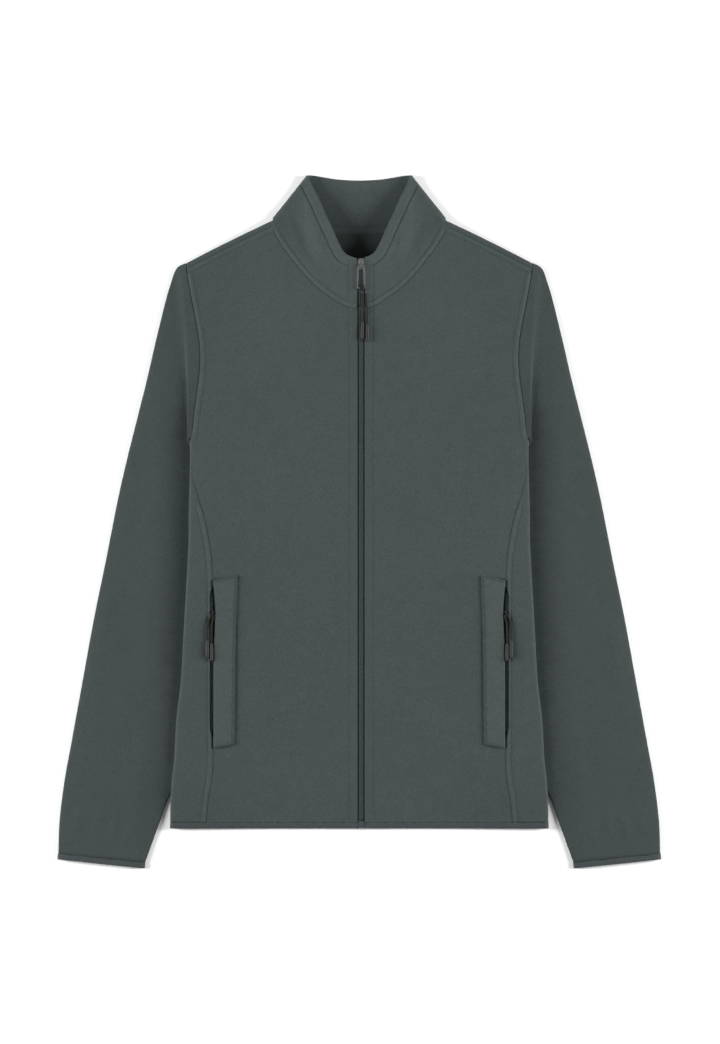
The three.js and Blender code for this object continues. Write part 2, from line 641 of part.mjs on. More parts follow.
function collarEnd(side) {
  let at = 1;
  while (Math.abs(collarPoint(side * at, 0.5).x) < zipEdge(side)) at -= 0.0005;
  return at;
}

function addCollar() {
  const fold = [0.4, 0.42, 0.435, 0.45, 0.465, 0.48, 0.5, 0.53, 0.565];
  const half = [0.065, 0.13, 0.195, 0.26, 0.315, 0.37, ...fold, 0.6, ...steps(8, 0.64, 0.92), 0.95];
  const us = [-collarEnd(-1), ...half.map((u) => -u).reverse(), 0, ...half, collarEnd(1)];
  addPiece('collar', wall(collarPoint, us, steps(4), COLLAR_CLOTH), FLEECE_INSIDE);
}

// Main zip: a tape under each front edge, and the closed chain of coils between the edges
function addZipTape(side, name) {
  const point = (u, v) => {
    const x = ZIP_X + side * mix(SEAM, ZIP_TAPE_WIDTH, u);
    const y = mix(HEM_Y, COLLAR_TOP_Y - 1, v);
    const extra = NECK_TAPE_DROP * ease((y - NECK_LOFT_BOTTOM) / (NECK_LOFT_TOP - NECK_LOFT_BOTTOM));
    return new THREE.Vector3(x, y, topHeight(x, y) - TAPE_DROP - extra);
  };
  addPiece(name, wall(point, [0, 0.5, 1], steps(20), TAPE), ZIP_CLOTH);
}

function addZipChain() {
  const point = (u, v) => {
    const x = ZIP_X + ZIP_CHAIN_WIDTH * (u - 0.5);
    const y = mix(HEM_Y + ZIP_CHAIN_START, ZIP_CHAIN_TOP, v);
    return new THREE.Vector3(x, y, topHeight(ZIP_X, y) - ZIP_CHAIN_DROP);
  };
  addPiece('zip_chain', wall(point, [0, 0.5, 1], steps(20), ZIP_CHAIN_HEIGHT), ZIP_COIL);
}

function addZipBox() {
  const { width, length, height, above } = ZIP_BOX;
  const y = HEM_Y + above;
  const piece = addPiece('zip_bottom_box', new THREE.BoxGeometry(width, length, height), ZIP_COIL);
  piece.position.set(ZIP_X, y, topHeight(ZIP_X, y));
}

// Solids for joining and cutting
function solidOf(geometry) {
  const plain = geometry.clone();
  plain.deleteAttribute('normal');
  plain.deleteAttribute('uv');
  const merged = mergeVertices(plain, 1e-5);
  const mesh = new wasm.Mesh({
    numProp: 3,
    vertProperties: new Float32Array(merged.getAttribute('position').array),
    triVerts: new Uint32Array(merged.index.array),
  });
  return new wasm.Manifold(mesh);
}

function geometryOf(solid) {
  const mesh = solid.getMesh();
  const geometry = new THREE.BufferGeometry();
  geometry.setAttribute('position', new THREE.BufferAttribute(Float32Array.from(mesh.vertProperties), 3));
  geometry.setIndex(Array.from(mesh.triVerts));
  geometry.computeVertexNormals();
  return geometry;
}

function plateShape(points) {
  return new THREE.Shape(points.map(([x, y]) => new THREE.Vector2(x, y)));
}

// The slider's top plate with the bridge that the pull tab hangs on, in the tab's own frame
function sliderGeometry() {
  const { low, high, width, plate } = SLIDER;
  const top = high - HINGE_Y;
  const bottom = low - HINGE_Y;
  const half = width / 2;
  const corners = [[half * 0.72, bottom], [half, bottom + 4], [half, top - 2], [half * 0.6, top]];
  const outline = plateShape([...corners, ...corners.map(([x, y]) => [-x, y]).reverse()]);
  const base = new THREE.ExtrudeGeometry(outline, { depth: plate, bevelEnabled: false });
  base.translate(0, 0, -BRIDGE.rise - plate);
  const arch = new THREE.Shape();
  arch.absarc(0, 0, BRIDGE.outer, 0, Math.PI, false);
  arch.lineTo(-BRIDGE.outer, -BRIDGE.rise - plate / 2);
  arch.lineTo(BRIDGE.outer, -BRIDGE.rise - plate / 2);
  const hole = new THREE.Path();
  hole.absarc(0, 0, BRIDGE.hole, 0, Math.PI * 2, true);
  arch.holes.push(hole);
  const extrusion = { depth: BRIDGE.width, bevelEnabled: false, curveSegments: 8 };
  const bridge = new THREE.ExtrudeGeometry(arch, extrusion);
  bridge.rotateX(Math.PI / 2);
  bridge.rotateZ(Math.PI / 2);
  bridge.translate(-BRIDGE.width / 2, 0, 0);
  return geometryOf(solidOf(base).add(solidOf(bridge)));
}

function tabShape() {
  const { top, length, topWidth, endWidth, bar, endBar } = TAB;
  const shape = plateShape([[-endWidth / 2, -length], [endWidth / 2, -length], [topWidth / 2, top - 1.4],
    [topWidth / 2 - 1.2, top], [1.2 - topWidth / 2, top], [-topWidth / 2, top - 1.4]]);
  const innerTop = topWidth / 2 - bar;
  const innerEnd = endWidth / 2 - bar;
  const slot = plateShape([[-innerTop, -0.75], [innerTop, -0.75], [innerEnd, endBar - length],
    [-innerEnd, endBar - length]]);
  shape.holes.push(slot);
  return shape;
}

// The cord knotted round the tab's lower bar, with a hole that the bar passes through
function knotGeometry() {
  const { width, length, half } = KNOT;
  const outline = new THREE.Shape();
  outline.absellipse(0, 0, length / 2, half, 0, Math.PI * 2, false);
  const bar = new THREE.Path();
  const clearY = TAB.endBar / 2 + SEAM;
  const clearZ = TAB.thick / 2 + SEAM;
  bar.setFromPoints([[-clearY, -clearZ], [-clearY, clearZ], [clearY, clearZ], [clearY, -clearZ]]
    .map(([y, z]) => new THREE.Vector2(y, z)));
  outline.holes.push(bar);
  const knot = new THREE.ExtrudeGeometry(outline, { depth: width, bevelEnabled: false, curveSegments: 8 });
  knot.rotateX(Math.PI / 2);
  knot.rotateZ(Math.PI / 2);
  knot.translate(-width / 2, 0, 0);
  return knot;
}

function addZipPull() {
  const group = new THREE.Group();
  group.position.set(SLIDER.x, HINGE_Y, hingeHeight());
  group.rotation.x = Math.atan(TAB_SLOPE);
  addPiece('zip_slider', sliderGeometry(), METAL, group);
  const tab = new THREE.ExtrudeGeometry(tabShape(), { depth: TAB.thick, bevelEnabled: false });
  tab.translate(0, 0, -TAB.thick / 2);
  addPiece('zip_pull_tab', tab, METAL, group);
  const knot = knotGeometry();
  knot.translate(0.4, TAB.endBar / 2 - TAB.length, 0);
  addPiece('zip_pull_knot', knot, CORD_CLOTH, group);
  jacket.add(group);
}

function hingeHeight() {
  return topHeight(ZIP_X, HINGE_Y) + SLIDER.over + SLIDER.plate + BRIDGE.rise;
}

// A cord along a list of points, with the rubber end that its last stretch goes into
function routePoints(route, side) {
  return route.map(([x, y, z]) => new THREE.Vector3(side * x, y, z));
}

function cordGeometry(points) {
  const section = new THREE.Shape();
  for (let i = 0; i < CORD_SIDES; i += 1) {
    const angle = (2 * Math.PI * i) / CORD_SIDES;
    const corner = [Math.cos(angle) * CORD / 2, Math.sin(angle) * CORD / 2];
    if (i === 0) section.moveTo(...corner);
    else section.lineTo(...corner);
  }
  section.closePath();
  const path = new THREE.CatmullRomCurve3(points);
  return new THREE.ExtrudeGeometry(section, { steps: 9, extrudePath: path, bevelEnabled: false });
}

function tipGeometry(points) {
  const end = points[points.length - 1];
  const direction = end.clone().sub(points[points.length - 2]).normalize();
  const profile = [[0, 0], [TIP_RADIUS * 0.72, 0], [TIP_RADIUS * 0.9, 3], [TIP_RADIUS, 12],
    [TIP_RADIUS * 0.92, TIP_LENGTH - 1.2], [TIP_RADIUS * 0.7, TIP_LENGTH], [0, TIP_LENGTH]];
  const tip = new THREE.LatheGeometry(profile.map(([r, h]) => new THREE.Vector2(r, h)), 10);
  tip.rotateX(Math.PI);
  const turn = new THREE.Quaternion().setFromUnitVectors(new THREE.Vector3(0, -1, 0), direction);
  tip.applyQuaternion(turn);
  const start = end.clone().addScaledVector(direction, SEAM);
  tip.translate(start.x, start.y, start.z);
  return tip;
}

function addCord(name, route, side) {
  const points = routePoints(route, side);
  addPiece(`${name}_cord`, cordGeometry(points), CORD_CLOTH);
  addPiece(`${name}_tip`, tipGeometry(points), RUBBER);
}

// Pocket: a welt that lies on the front panel, and the zip in the mouth behind its outer edge
function addWelt(side, name) {
  const rise = CLOTH / 2 + SEAM + WELT / 2;
  const point = (u, v) => {
    const y = mix(WELT_ROWS[0].y, WELT_ROWS[WELT_ROWS.length - 1].y, v);
    const width = mix(read(WELT_ROWS, 'y', y, 'out'), read(WELT_ROWS, 'y', y, 'in'), u);
    const x = side * width;
    const slanted = y + WELT_SLANT * (u - 0.5);
    return new THREE.Vector3(x, slanted, layerHeight(x, slanted, true) + rise);
  };
  addPiece(name, wall(point, [0, 0.33, 0.66, 1], steps(9), WELT), FLEECE);
}

function addPocketZip(side, name) {
  const tape = (u, v) => {
    const x = side * mix(POCKET_TAPE.out, POCKET_TAPE.in, u);
    const y = mix(POCKET_BOTTOM - 1, POCKET_TOP + 1, v);
    return new THREE.Vector3(x, y, layerHeight(x, y, true) - CLOTH / 2 - SEAM - TAPE / 2);
  };
  const chain = (u, v) => {
    const { x: middle, width, height, short } = POCKET_CHAIN;
    const x = side * (middle + width * (0.5 - u));
    const y = mix(POCKET_BOTTOM + short, POCKET_TOP - short, v);
    return new THREE.Vector3(x, y, layerHeight(x, y, true) + (height - CLOTH) / 2);
  };
  addPiece(`pocket_zip_tape_${name}`, wall(tape, [0, 0.5, 1], steps(8), TAPE), ZIP_CLOTH);
  addPiece(`pocket_zip_chain_${name}`, wall(chain, [0, 0.5, 1], steps(8), POCKET_CHAIN.height), ZIP_COIL);
}

addBackPanel();
bothSides((side, name) => addFrontPanel(side, `front_panel_${name}`));
bothSides((side, name) => addSidePanel(side, `side_panel_${name}`));
bothSides((side, name) => addSleeve(side, `sleeve_${name}`));
bothSides((side, name) => addCuffBinding(side, `cuff_binding_${name}`));
addCollar();
addHemBinding();
bothSides((side, name) => addZipTape(side, `zip_tape_${name}`));
addZipChain();
addZipBox();
addZipPull();
addCord('zip_pull_a', ZIP_CORD_A, 1);
addCord('zip_pull_b', ZIP_CORD_B, 1);
bothSides((side, name) => addWelt(side, `pocket_welt_${name}`));
bothSides((side, name) => addPocketZip(side, name));
bothSides((side, name) => addCord(`pocket_${name}_a`, POCKET_CORD_A, side));
bothSides((side, name) => addCord(`pocket_${name}_b`, POCKET_CORD_B, side));

export default jacket;
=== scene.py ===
import math
import bpy
import numpy as np
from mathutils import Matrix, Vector


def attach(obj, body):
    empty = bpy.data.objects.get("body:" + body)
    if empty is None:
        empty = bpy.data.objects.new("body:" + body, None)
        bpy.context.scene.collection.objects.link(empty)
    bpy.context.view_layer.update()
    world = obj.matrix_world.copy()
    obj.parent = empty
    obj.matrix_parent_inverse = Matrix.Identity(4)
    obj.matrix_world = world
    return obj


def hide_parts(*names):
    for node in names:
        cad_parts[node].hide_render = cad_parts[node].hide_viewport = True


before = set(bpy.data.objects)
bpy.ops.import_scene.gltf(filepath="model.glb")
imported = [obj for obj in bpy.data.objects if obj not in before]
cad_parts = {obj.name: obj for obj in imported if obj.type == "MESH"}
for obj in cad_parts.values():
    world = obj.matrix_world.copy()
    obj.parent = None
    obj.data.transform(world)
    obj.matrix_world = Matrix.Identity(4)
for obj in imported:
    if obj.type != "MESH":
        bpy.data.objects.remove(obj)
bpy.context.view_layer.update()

# The photo's frame and the camera
PIXELS_DOWN = 1044
PIXEL = 0.0011
CAMERA_HEIGHT = 5.0
CAMERA_X = 0.0008
CAMERA_Y = -0.0006
SENSOR = 36.0

# Cloth, trim and the gaps between sewn pieces
CLOTH = 0.0022
COLLAR_CLOTH = 0.0026
SHELL = 0.0019
COLLAR_SHELL = 0.0024
CUFF_BINDING = 0.0028
HEM_BINDING = 0.0024
TAPE = 0.0007
WELT = 0.0018
SEAM = 0.00005
PANEL_SEAM = 0.0003
COLLAR_SEAM = 0.0002
NECK_OVERLAP = 0.0006

# How the two layers of the body lie on each other
HEM_Y = -0.337
BINDING_WIDTH = 0.006
PANEL_LOW = HEM_Y + BINDING_WIDTH + PANEL_SEAM
FLAT_SPREAD = 0.0031
FOLD_SPREAD = 0.0056
FOLD_REACH = 0.060
FOLD_RADIUS = FOLD_SPREAD / 2
QUARTER = math.pi / 2 * FOLD_RADIUS
ZIP_ROOM = 0.0018
ZIP_ROOM_REACH = 0.030
DRAPE_START = 0.095
DRAPE_END = 0.148

# The standing collar lifts the front of the neck off the back of it
NECK_LOFT = 0.018
NECK_LOFT_WIDTH = 0.150
NECK_LOFT_BOTTOM = 0.120
NECK_LOFT_TOP = 0.240
COLLAR_RISE = 0.206
COLLAR_RISE_WIDTH = 0.060
COLLAR_SETTLE = 0.006
COLLAR_SETTLE_START = 0.300
COLLAR_SETTLE_REACH = 0.075
COLLAR_SETTLE_SHARE = 0.3
FOLD_STATION = 0.455
FOLD_STATION_REACH = 0.045
COLLAR_TOP_Y = 0.286
COLLAR_HEIGHT = 0.060

# Zip down the front, a little to one side of the middle
ZIP_X = 0.00195
ZIP_CLEAR = 0.00385
ZIP_TAPE_WIDTH = 0.011
ZIP_TOP = 0.285
ZIP_START = HEM_Y + 0.009
TAPE_DROP = 0.0021
NECK_TAPE_DROP = 0.001
CHAIN_DROP = 0.0004
ZIP_STITCH = 0.01265

# Shoulders and arms
NECK_POINT_X = 0.096
NECK_POINT_Y = 0.3305
SHOULDER_SLOPE = 0.492
SHOULDER_BOW = 0.0008
SHOULDER_END = 0.190
FORWARD_SEAM = 0.0056
ARMPIT_Y = 0.090
ARMPIT_GAP = 0.0004
ARM_TOP_Y = 0.275
SLEEVE_FLAT_SPREAD = 0.0027
SLEEVE_CROWN = 0.0031
SLEEVE_CROWN_START = 0.006
SLEEVE_CROWN_REACH = 0.035
SLEEVE_SEAM = 0.0006

# The front's corner beside the neck tucks in under the collar
NECK_CORNER_START = 0.0865
NECK_CORNER_REACH = 0.005
NECK_CORNER_LIFT = 0.011
NECK_CORNER_FINE = 0.012

# Stretches of a panel beside its edges that need fine points, for the seams and stitching there
EDGE_FINE = 0.0085
ZIP_FINE = 0.0110
SHOULDER_FINE = 0.0100
COLLAR_FINE = 0.0085
COLLAR_EDGE_FINE = 0.022

# Pockets
POCKET_TOP = -0.066
POCKET_BOTTOM = -0.243
POCKET_RAMP = 0.018
POCKET_FRONT_GAPE = 0.0034
POCKET_SIDE_GAPE = 0.0030
POCKET_TAPE_OUT = 0.1675
POCKET_TAPE_IN = 0.1555
POCKET_CHAIN_X = 0.162
POCKET_CHAIN_SHORT = 0.012
WELT_SLANT = 0.0046

# How many points the grid of each piece has, along it and across it
BACK_ROWS = 170
BACK_TOP_ROWS = 52
SIDE_ROWS = 170
SIDE_COLUMNS = 94
SLEEVE_HEAD_RINGS = 26
SLEEVE_RINGS = 150
SLEEVE_AROUND = 128
BINDING_ROWS = 8
TAPE_ROWS = 220
TAPE_COLUMNS = 7
POCKET_TAPE_ROWS = 60
WELT_ROW_COUNT = 110
WELT_COLUMNS = 22
STRIP_ROWS = 160
STRIP_COLUMNS = 5


class Table:
    """A short table with named columns, read between its rows on a smooth curve through them."""

    def __init__(self, names, rows):
        self.columns = dict(zip(names.split(), np.array(rows, dtype=float).T))
        self.key = self.columns[names.split()[0]]
        self.last = len(rows) - 1

    def read(self, at, name):
        at = np.asarray(at, dtype=float)
        key = self.key
        values = self.columns[name]
        low = np.clip(np.searchsorted(key, at, side="left") - 1, 0, self.last - 1)
        high = low + 1
        before = np.maximum(low - 1, 0)
        after = np.minimum(low + 2, self.last)
        span = key[high] - key[low]
        t = np.clip((at - key[low]) / span, 0, 1)
        slope_low = (values[high] - values[before]) / (key[high] - key[before])
        slope_high = (values[after] - values[low]) / (key[after] - key[low])
        square = t * t
        cube = square * t
        start = (2 * cube - 3 * square + 1) * values[low] + (cube - 2 * square + t) * span * slope_low
        end = (3 * square - 2 * cube) * values[high] + (cube - square) * span * slope_high
        return start + end


# One row for each level of the body, from the hem up: the side edge, the underside's lift off the floor,
# and the cloth's length from the side fold to the front side seam or armhole, and to the back one
BODY = Table("y edge lift seam back", [
    (-0.337, 0.208, 0.0014, 0.039, 0.036),
    (-0.306, 0.2075, 0.0046, 0.042, 0.036),
    (-0.284, 0.206, 0.0056, 0.044, 0.036),
    (-0.262, 0.2035, 0.0056, 0.043, 0.035),
    (-0.218, 0.201, 0.0056, 0.0405, 0.034),
    (-0.174, 0.196, 0.0056, 0.0355, 0.033),
    (-0.13, 0.1935, 0.0056, 0.033, 0.031),
    (-0.086, 0.191, 0.0056, 0.0305, 0.029),
    (-0.042, 0.1885, 0.0056, 0.0265, 0.025),
    (-0.02, 0.1875, 0.0056, 0.0225, 0.021),
    (0.002, 0.1875, 0.0056, 0.018, 0.017),
    (0.024, 0.187, 0.0056, 0.0115, 0.011),
    (0.046, 0.1865, 0.0056, 0.005, 0.0055),
    (0.068, 0.186, 0.0056, 0.0025, 0.0025),
    (0.09, 0.1865, 0.005, 0.0025, 0.0025),
    (0.098, 0.187, 0.0047, 0.0046, 0.0046),
    (0.111, 0.1875, 0.004, 0.0062, 0.0065),
    (0.134, 0.1885, 0.0028, 0.01, 0.0105),
    (0.156, 0.1895, 0.0017, 0.014, 0.0135),
    (0.178, 0.19, 0.0009, 0.016, 0.015),
    (0.2, 0.1905, 0.0003, 0.0153, 0.0145),
    (0.222, 0.192, 0, 0.013, 0.013),
    (0.244, 0.195, 0, 0.0117, 0.012),
    (0.275, 0.2015, 0, 0.0126, 0.0126),
])

# The neck seam on the front, and the one on the back, from the middle outwards
NECK_SEAM = Table("x y", [
    (0, 0.2335),
    (0.006, 0.234),
    (0.019, 0.2385),
    (0.032, 0.247),
    (0.0455, 0.257),
    (0.0585, 0.27),
    (0.072, 0.2865),
    (0.085, 0.304),
    (0.0915, 0.315),
    (0.096, 0.323),
])
BACK_NECK = Table("x y", [
    (0, 0.315),
    (0.04, 0.3175),
    (0.07, 0.3225),
    (0.092, 0.328),
])

# The collar by share of its half length, from the middle of the back round the fold to the zip.
# rise is the share of the front's height that it has there.
COLLAR = Table("at base_x base_y top_x top_y rise", [
    (0, 0, 0.315, 0, 0.3745, 0),
    (0.13, 0.028, 0.316, 0.021, 0.3755, 0),
    (0.26, 0.056, 0.3195, 0.038, 0.378, 0),
    (0.37, 0.08, 0.326, 0.049, 0.38, 0.02),
    (0.42, 0.0893, 0.3278, 0.0545, 0.3803, 0.14),
    (0.45, 0.0945, 0.3322, 0.0573, 0.379, 0.5),
    (0.465, 0.0946, 0.3288, 0.0568, 0.3777, 0.92),
    (0.48, 0.0940, 0.3245, 0.056, 0.376, 1),
    (0.53, 0.0893, 0.31, 0.0515, 0.367, 1),
    (0.6, 0.0785, 0.295, 0.044, 0.352, 1),
    (0.68, 0.065, 0.2775, 0.037, 0.336, 1),
    (0.76, 0.052, 0.2632, 0.03, 0.321, 1),
    (0.84, 0.0385, 0.2516, 0.024, 0.307, 1),
    (0.92, 0.022, 0.2403, 0.0155, 0.293, 1),
    (1, 0, 0.2338, 0, 0.286, 1),
])

# The sleeve by ring, from the armhole to the cuff: its inner and outer fold, the share of the body's
# height that its two layers still have, and how far the ring swings in between its folds
SLEEVE = Table("ring in_x in_y in_z out_x out_y out_z front back bow", [
    (0, 0.1885, 0.0900, 0.0086, 0.1955, 0.281, 0.0039, 1, 0.9, 0.0035),
    (1, 0.1858, 0.084, 0.0072, 0.199, 0.2785, 0.0038, 0.6, 0.7, 0.0025),
    (2, 0.1838, 0.073, 0.0048, 0.202, 0.274, 0.0036, 0.2, 0.3, 0.0015),
    (3, 0.1828, 0.052, 0.0027, 0.2055, 0.264, 0.0034, 0, 0.1, 0),
    (4, 0.1808, 0.03, 0.00245, 0.2115, 0.244, 0.0032, 0, 0, 0),
    (5, 0.176, 0, 0.00245, 0.2225, 0.1995, 0.003, 0, 0, 0),
    (6, 0.165, -0.03, 0.00245, 0.2325, 0.156, 0.003, 0, 0, 0),
    (7, 0.156, -0.06, 0.00245, 0.2435, 0.112, 0.003, 0, 0, 0),
    (8, 0.152, -0.092, 0.00245, 0.2545, 0.068, 0.003, 0, 0, 0),
    (9, 0.1515, -0.125, 0.00245, 0.2645, 0.024, 0.003, 0, 0, 0),
    (10, 0.155, -0.165, 0.00245, 0.2775, -0.042, 0.003, 0, 0, 0),
    (11, 0.163, -0.205, 0.00245, 0.291, -0.108, 0.003, 0, 0, 0),
    (12, 0.175, -0.24, 0.00245, 0.303, -0.174, 0.003, 0, 0, 0),
    (13, 0.19, -0.272, 0.00245, 0.315, -0.24, 0.003, 0, 0, 0),
    (14, 0.2085, -0.2995, 0.00245, 0.323, -0.284, 0.003, 0, 0, 0),
    (15, 0.2205, -0.331, 0.0025, 0.3285, -0.328, 0.003, 0, 0, 0),
    (16, 0.2364, -0.375, 0.0026, 0.33, -0.3652, 0.003, 0, 0, 0),
])
LAST_RING = 16

# The pocket welt: its outer and inner edge by level
WELT_ROWS = Table("y outer inner", [
    (-0.247, 0.1598, 0.137),
    (-0.241, 0.1598, 0.137),
    (-0.14, 0.1596, 0.136),
    (-0.112, 0.1583, 0.1355),
    (-0.094, 0.1577, 0.1349),
    (-0.08, 0.1588, 0.1343),
    (-0.062, 0.1603, 0.1336),
])
ZIP_CORD_A = [
    (0.0043, 0.2496, 0.0297),
    (0.0045, 0.244, 0.0287),
    (0.0047, 0.238, 0.0277),
    (0.0044, 0.231, 0.0269),
    (0.004, 0.2255, 0.0262),
    (0.0038, 0.2192, 0.0254),
]
ZIP_CORD_B = [
    (0.007, 0.2496, 0.0298),
    (0.0075, 0.243, 0.0287),
    (0.0081, 0.236, 0.0277),
    (0.0085, 0.229, 0.027),
    (0.0087, 0.222, 0.0262),
    (0.0088, 0.2166, 0.0254),
]
POCKET_CORD_A = [
    (0.1597, -0.0985, 0.0137),
    (0.1622, -0.1022, 0.0138),
    (0.1648, -0.107, 0.014),
    (0.1664, -0.113, 0.0143),
    (0.1668, -0.121, 0.0148),
    (0.1667, -0.13, 0.0149),
]
POCKET_CORD_B = [
    (0.1595, -0.1026, 0.0137),
    (0.1606, -0.1066, 0.0137),
    (0.1618, -0.1115, 0.0138),
    (0.1623, -0.118, 0.0141),
    (0.1623, -0.125, 0.0145),
    (0.1622, -0.133, 0.0146),
]


def clamp01(t):
    return np.clip(t, 0.0, 1.0)


def mix(a, b, t):
    return a + (b - a) * t


def ease(t):
    c = clamp01(t)
    return c * c * (3 - 2 * c)


# Seams, stitching and creases in the cloth's surface

# A gather of the cloth along a seam: wave length and share of each of the waves that make it uneven
# Painted shade and highlight that follow the gather's waves along a seam
PUCKER_PAINTED_SHADING = 0.02
PUCKER_WAVES = [(0.0113, 1.0, 0.4), (0.0171, 0.8, 2.1), (0.0079, 0.5, 4.0), (0.0290, 0.9, 1.2)]


def unevenness(along, phase):
    total = sum(share * np.sin(2 * math.pi * along / length + start + phase)
                for length, share, start in PUCKER_WAVES)
    return total / sum(share for _, share, _ in PUCKER_WAVES)


class Line:
    """A line drawn on the cloth, seen from above: a seam, a row of stitching or a fold."""

    def __init__(self, points):
        self.points = np.array(points, dtype=float)
        steps = np.diff(self.points, axis=0)
        self.lengths = np.hypot(steps[:, 0], steps[:, 1])
        self.starts = np.concatenate([[0.0], np.cumsum(self.lengths)])

    def measure(self, x, y, reach):
        """Each point's distance from the line, and how far along the line it lies, where it is near."""
        distance = np.full(x.shape, np.inf)
        along = np.zeros(x.shape)
        low = self.points.min(axis=0) - reach
        high = self.points.max(axis=0) + reach
        near = (x > low[0]) & (x < high[0]) & (y > low[1]) & (y < high[1])
        px = x[near]
        py = y[near]
        best = np.full(px.shape, np.inf)
        place = np.zeros(px.shape)
        for i, length in enumerate(self.lengths):
            ax, ay = self.points[i]
            dx, dy = (self.points[i + 1] - self.points[i]) / length
            t = np.clip((px - ax) * dx + (py - ay) * dy, 0, length)
            gap = np.hypot(px - ax - dx * t, py - ay - dy * t)
            closer = gap < best
            best = np.where(closer, gap, best)
            place = np.where(closer, self.starts[i] + t, place)
        distance[near] = best
        along[near] = place
        return distance, along


class Relief:
    """What lies in one surface of cloth: rows of stitching, seam ridges and creases, and the painted shade
    and highlight that go with them.
    """

    def __init__(self):
        self.marks = []

    def add(self, line, depth, width, tone=0.0, pucker=0.0, pucker_width=0.004, phase=0.0):
        self.marks.append((line, depth, width, tone, pucker, pucker_width, phase))

    def height(self, x, y):
        x, y = np.broadcast_arrays(np.asarray(x, dtype=float), np.asarray(y, dtype=float))
        total = np.zeros(x.shape)
        for line, depth, width, _, pucker, pucker_width, phase in self.marks:
            reach = 3 * max(width, pucker_width if pucker else 0)
            distance, along = line.measure(x, y, reach)
            wave = unevenness(along, phase)
            total += depth * np.exp(-((distance / width) ** 2)) * (1 + 0.3 * wave)
            if pucker:
                total += pucker * wave * np.exp(-((distance / pucker_width) ** 2))
        return total

    def tone(self, x, y):
        """How much darker or lighter the colour is painted: painted shade in grooves and along stitching,
        painted highlight on ridges, and both along puckers.
        """
        total = np.ones(x.shape)
        for line, _, width, tone, pucker, pucker_width, phase in self.marks:
            distance, along = line.measure(x, y, 3 * max(width, pucker_width if pucker else 0))
            wave = unevenness(along, phase)
            total += tone * np.exp(-((distance / width) ** 2)) * (1 + 0.4 * wave)
            if pucker:
                total += PUCKER_PAINTED_SHADING * wave * np.exp(-((distance / pucker_width) ** 2))
        return total


class Creases:
    """Long soft troughs and ridges: each a line with a width, and a height that fades to its ends."""

    def __init__(self, rows):
        self.rows = [(Line([(x0, y0), (x1, y1)]), width, height) for x0, y0, x1, y1, width, height in rows]

    def height(self, x, y):
        x, y = np.broadcast_arrays(np.asarray(x, dtype=float), np.asarray(y, dtype=float))
        total = np.zeros(x.shape)
        for line, width, height in self.rows:
            distance, along = line.measure(x, y, 3 * width)
            share = along / line.starts[-1]
            fade = ease(share * 3) * ease((1 - share) * 3)
            total += height * fade * np.exp(-((distance / width) ** 2))
        return total


# Heights of the body's two layers, at the middle of the cloth

front_relief = Relief()
back_relief = Relief()
collar_relief = Relief()
collar_back_relief = Relief()
welt_relief = Relief()
# Holds only painted shade, for the valley of the sleeves beside the body
sleeve_valley_shade = Relief()


def edge_at(y):
    return BODY.read(y, "edge") - CLOTH / 2


def shoulder_at(width):
    along = width - NECK_POINT_X
    bow = SHOULDER_BOW * np.sin(math.pi * clamp01(along / (SHOULDER_END - NECK_POINT_X)))
    return NECK_POINT_Y - CLOTH / 2 - SHOULDER_SLOPE * along + bow


def shoulder_round(width, y):
    over = clamp01((y - shoulder_at(width) + FOLD_RADIUS) / FOLD_RADIUS)
    return np.sqrt(1 - over * over)


def neck_loft(x, y):
    across = ease(1 - np.abs(x) / NECK_LOFT_WIDTH)
    return NECK_LOFT * across * ease((y - NECK_LOFT_BOTTOM) / (NECK_LOFT_TOP - NECK_LOFT_BOTTOM))


def flat_back(x, y):
    drape = ease((np.abs(x) - DRAPE_START) / (DRAPE_END - DRAPE_START))
    return CLOTH / 2 + BODY.read(y, "lift") * drape


def flat_front(x, y):
    width = np.abs(x)
    near_side = ease(1 - (edge_at(y) - width) / FOLD_REACH)
    near_shoulder = ease(1 - (shoulder_at(width) - y) / FOLD_REACH)
    near_fold = 1 - (1 - near_side) * (1 - near_shoulder)
    zip_room = ZIP_ROOM * ease(1 - np.abs(x - ZIP_X) / ZIP_ROOM_REACH)
    return flat_back(x, y) + mix(FLAT_SPREAD, FOLD_SPREAD, near_fold) + zip_room + neck_loft(x, y)


def plain_height(x, y, front):
    """Height of the front layer where front is 1, and of the back layer where it is -1."""
    low = flat_back(x, y)
    high = flat_front(x, y)
    half = (high - low) / 2 * shoulder_round(np.abs(x), y)
    return (low + high) / 2 + half * front


def layer_height(x, y, front):
    """The same with the cloth's seams, stitching and creases."""
    on_top = front_relief.height(x, y) + FRONT_CREASES.height(x, y)
    below = np.maximum(back_relief.height(x, y) + BACK_CREASES.height(x, y), 0)
    relief = np.where(np.asarray(front) > 0, on_top, below) * shoulder_round(np.abs(x), y)
    return plain_height(x, y, front) + relief


def neck_seam_at(x):
    return NECK_SEAM.read(np.abs(x), "y")


def back_neck_at(width):
    return BACK_NECK.read(width, "y")


def top_height(x, y):
    """Height of the front, and above its neck seam that of the front of the collar."""
    seam = neck_seam_at(x)
    rise = COLLAR_RISE * clamp01(1 - np.abs(x) / COLLAR_RISE_WIDTH)
    return plain_height(x, np.minimum(y, seam), 1) + rise * np.maximum(y - seam, 0)


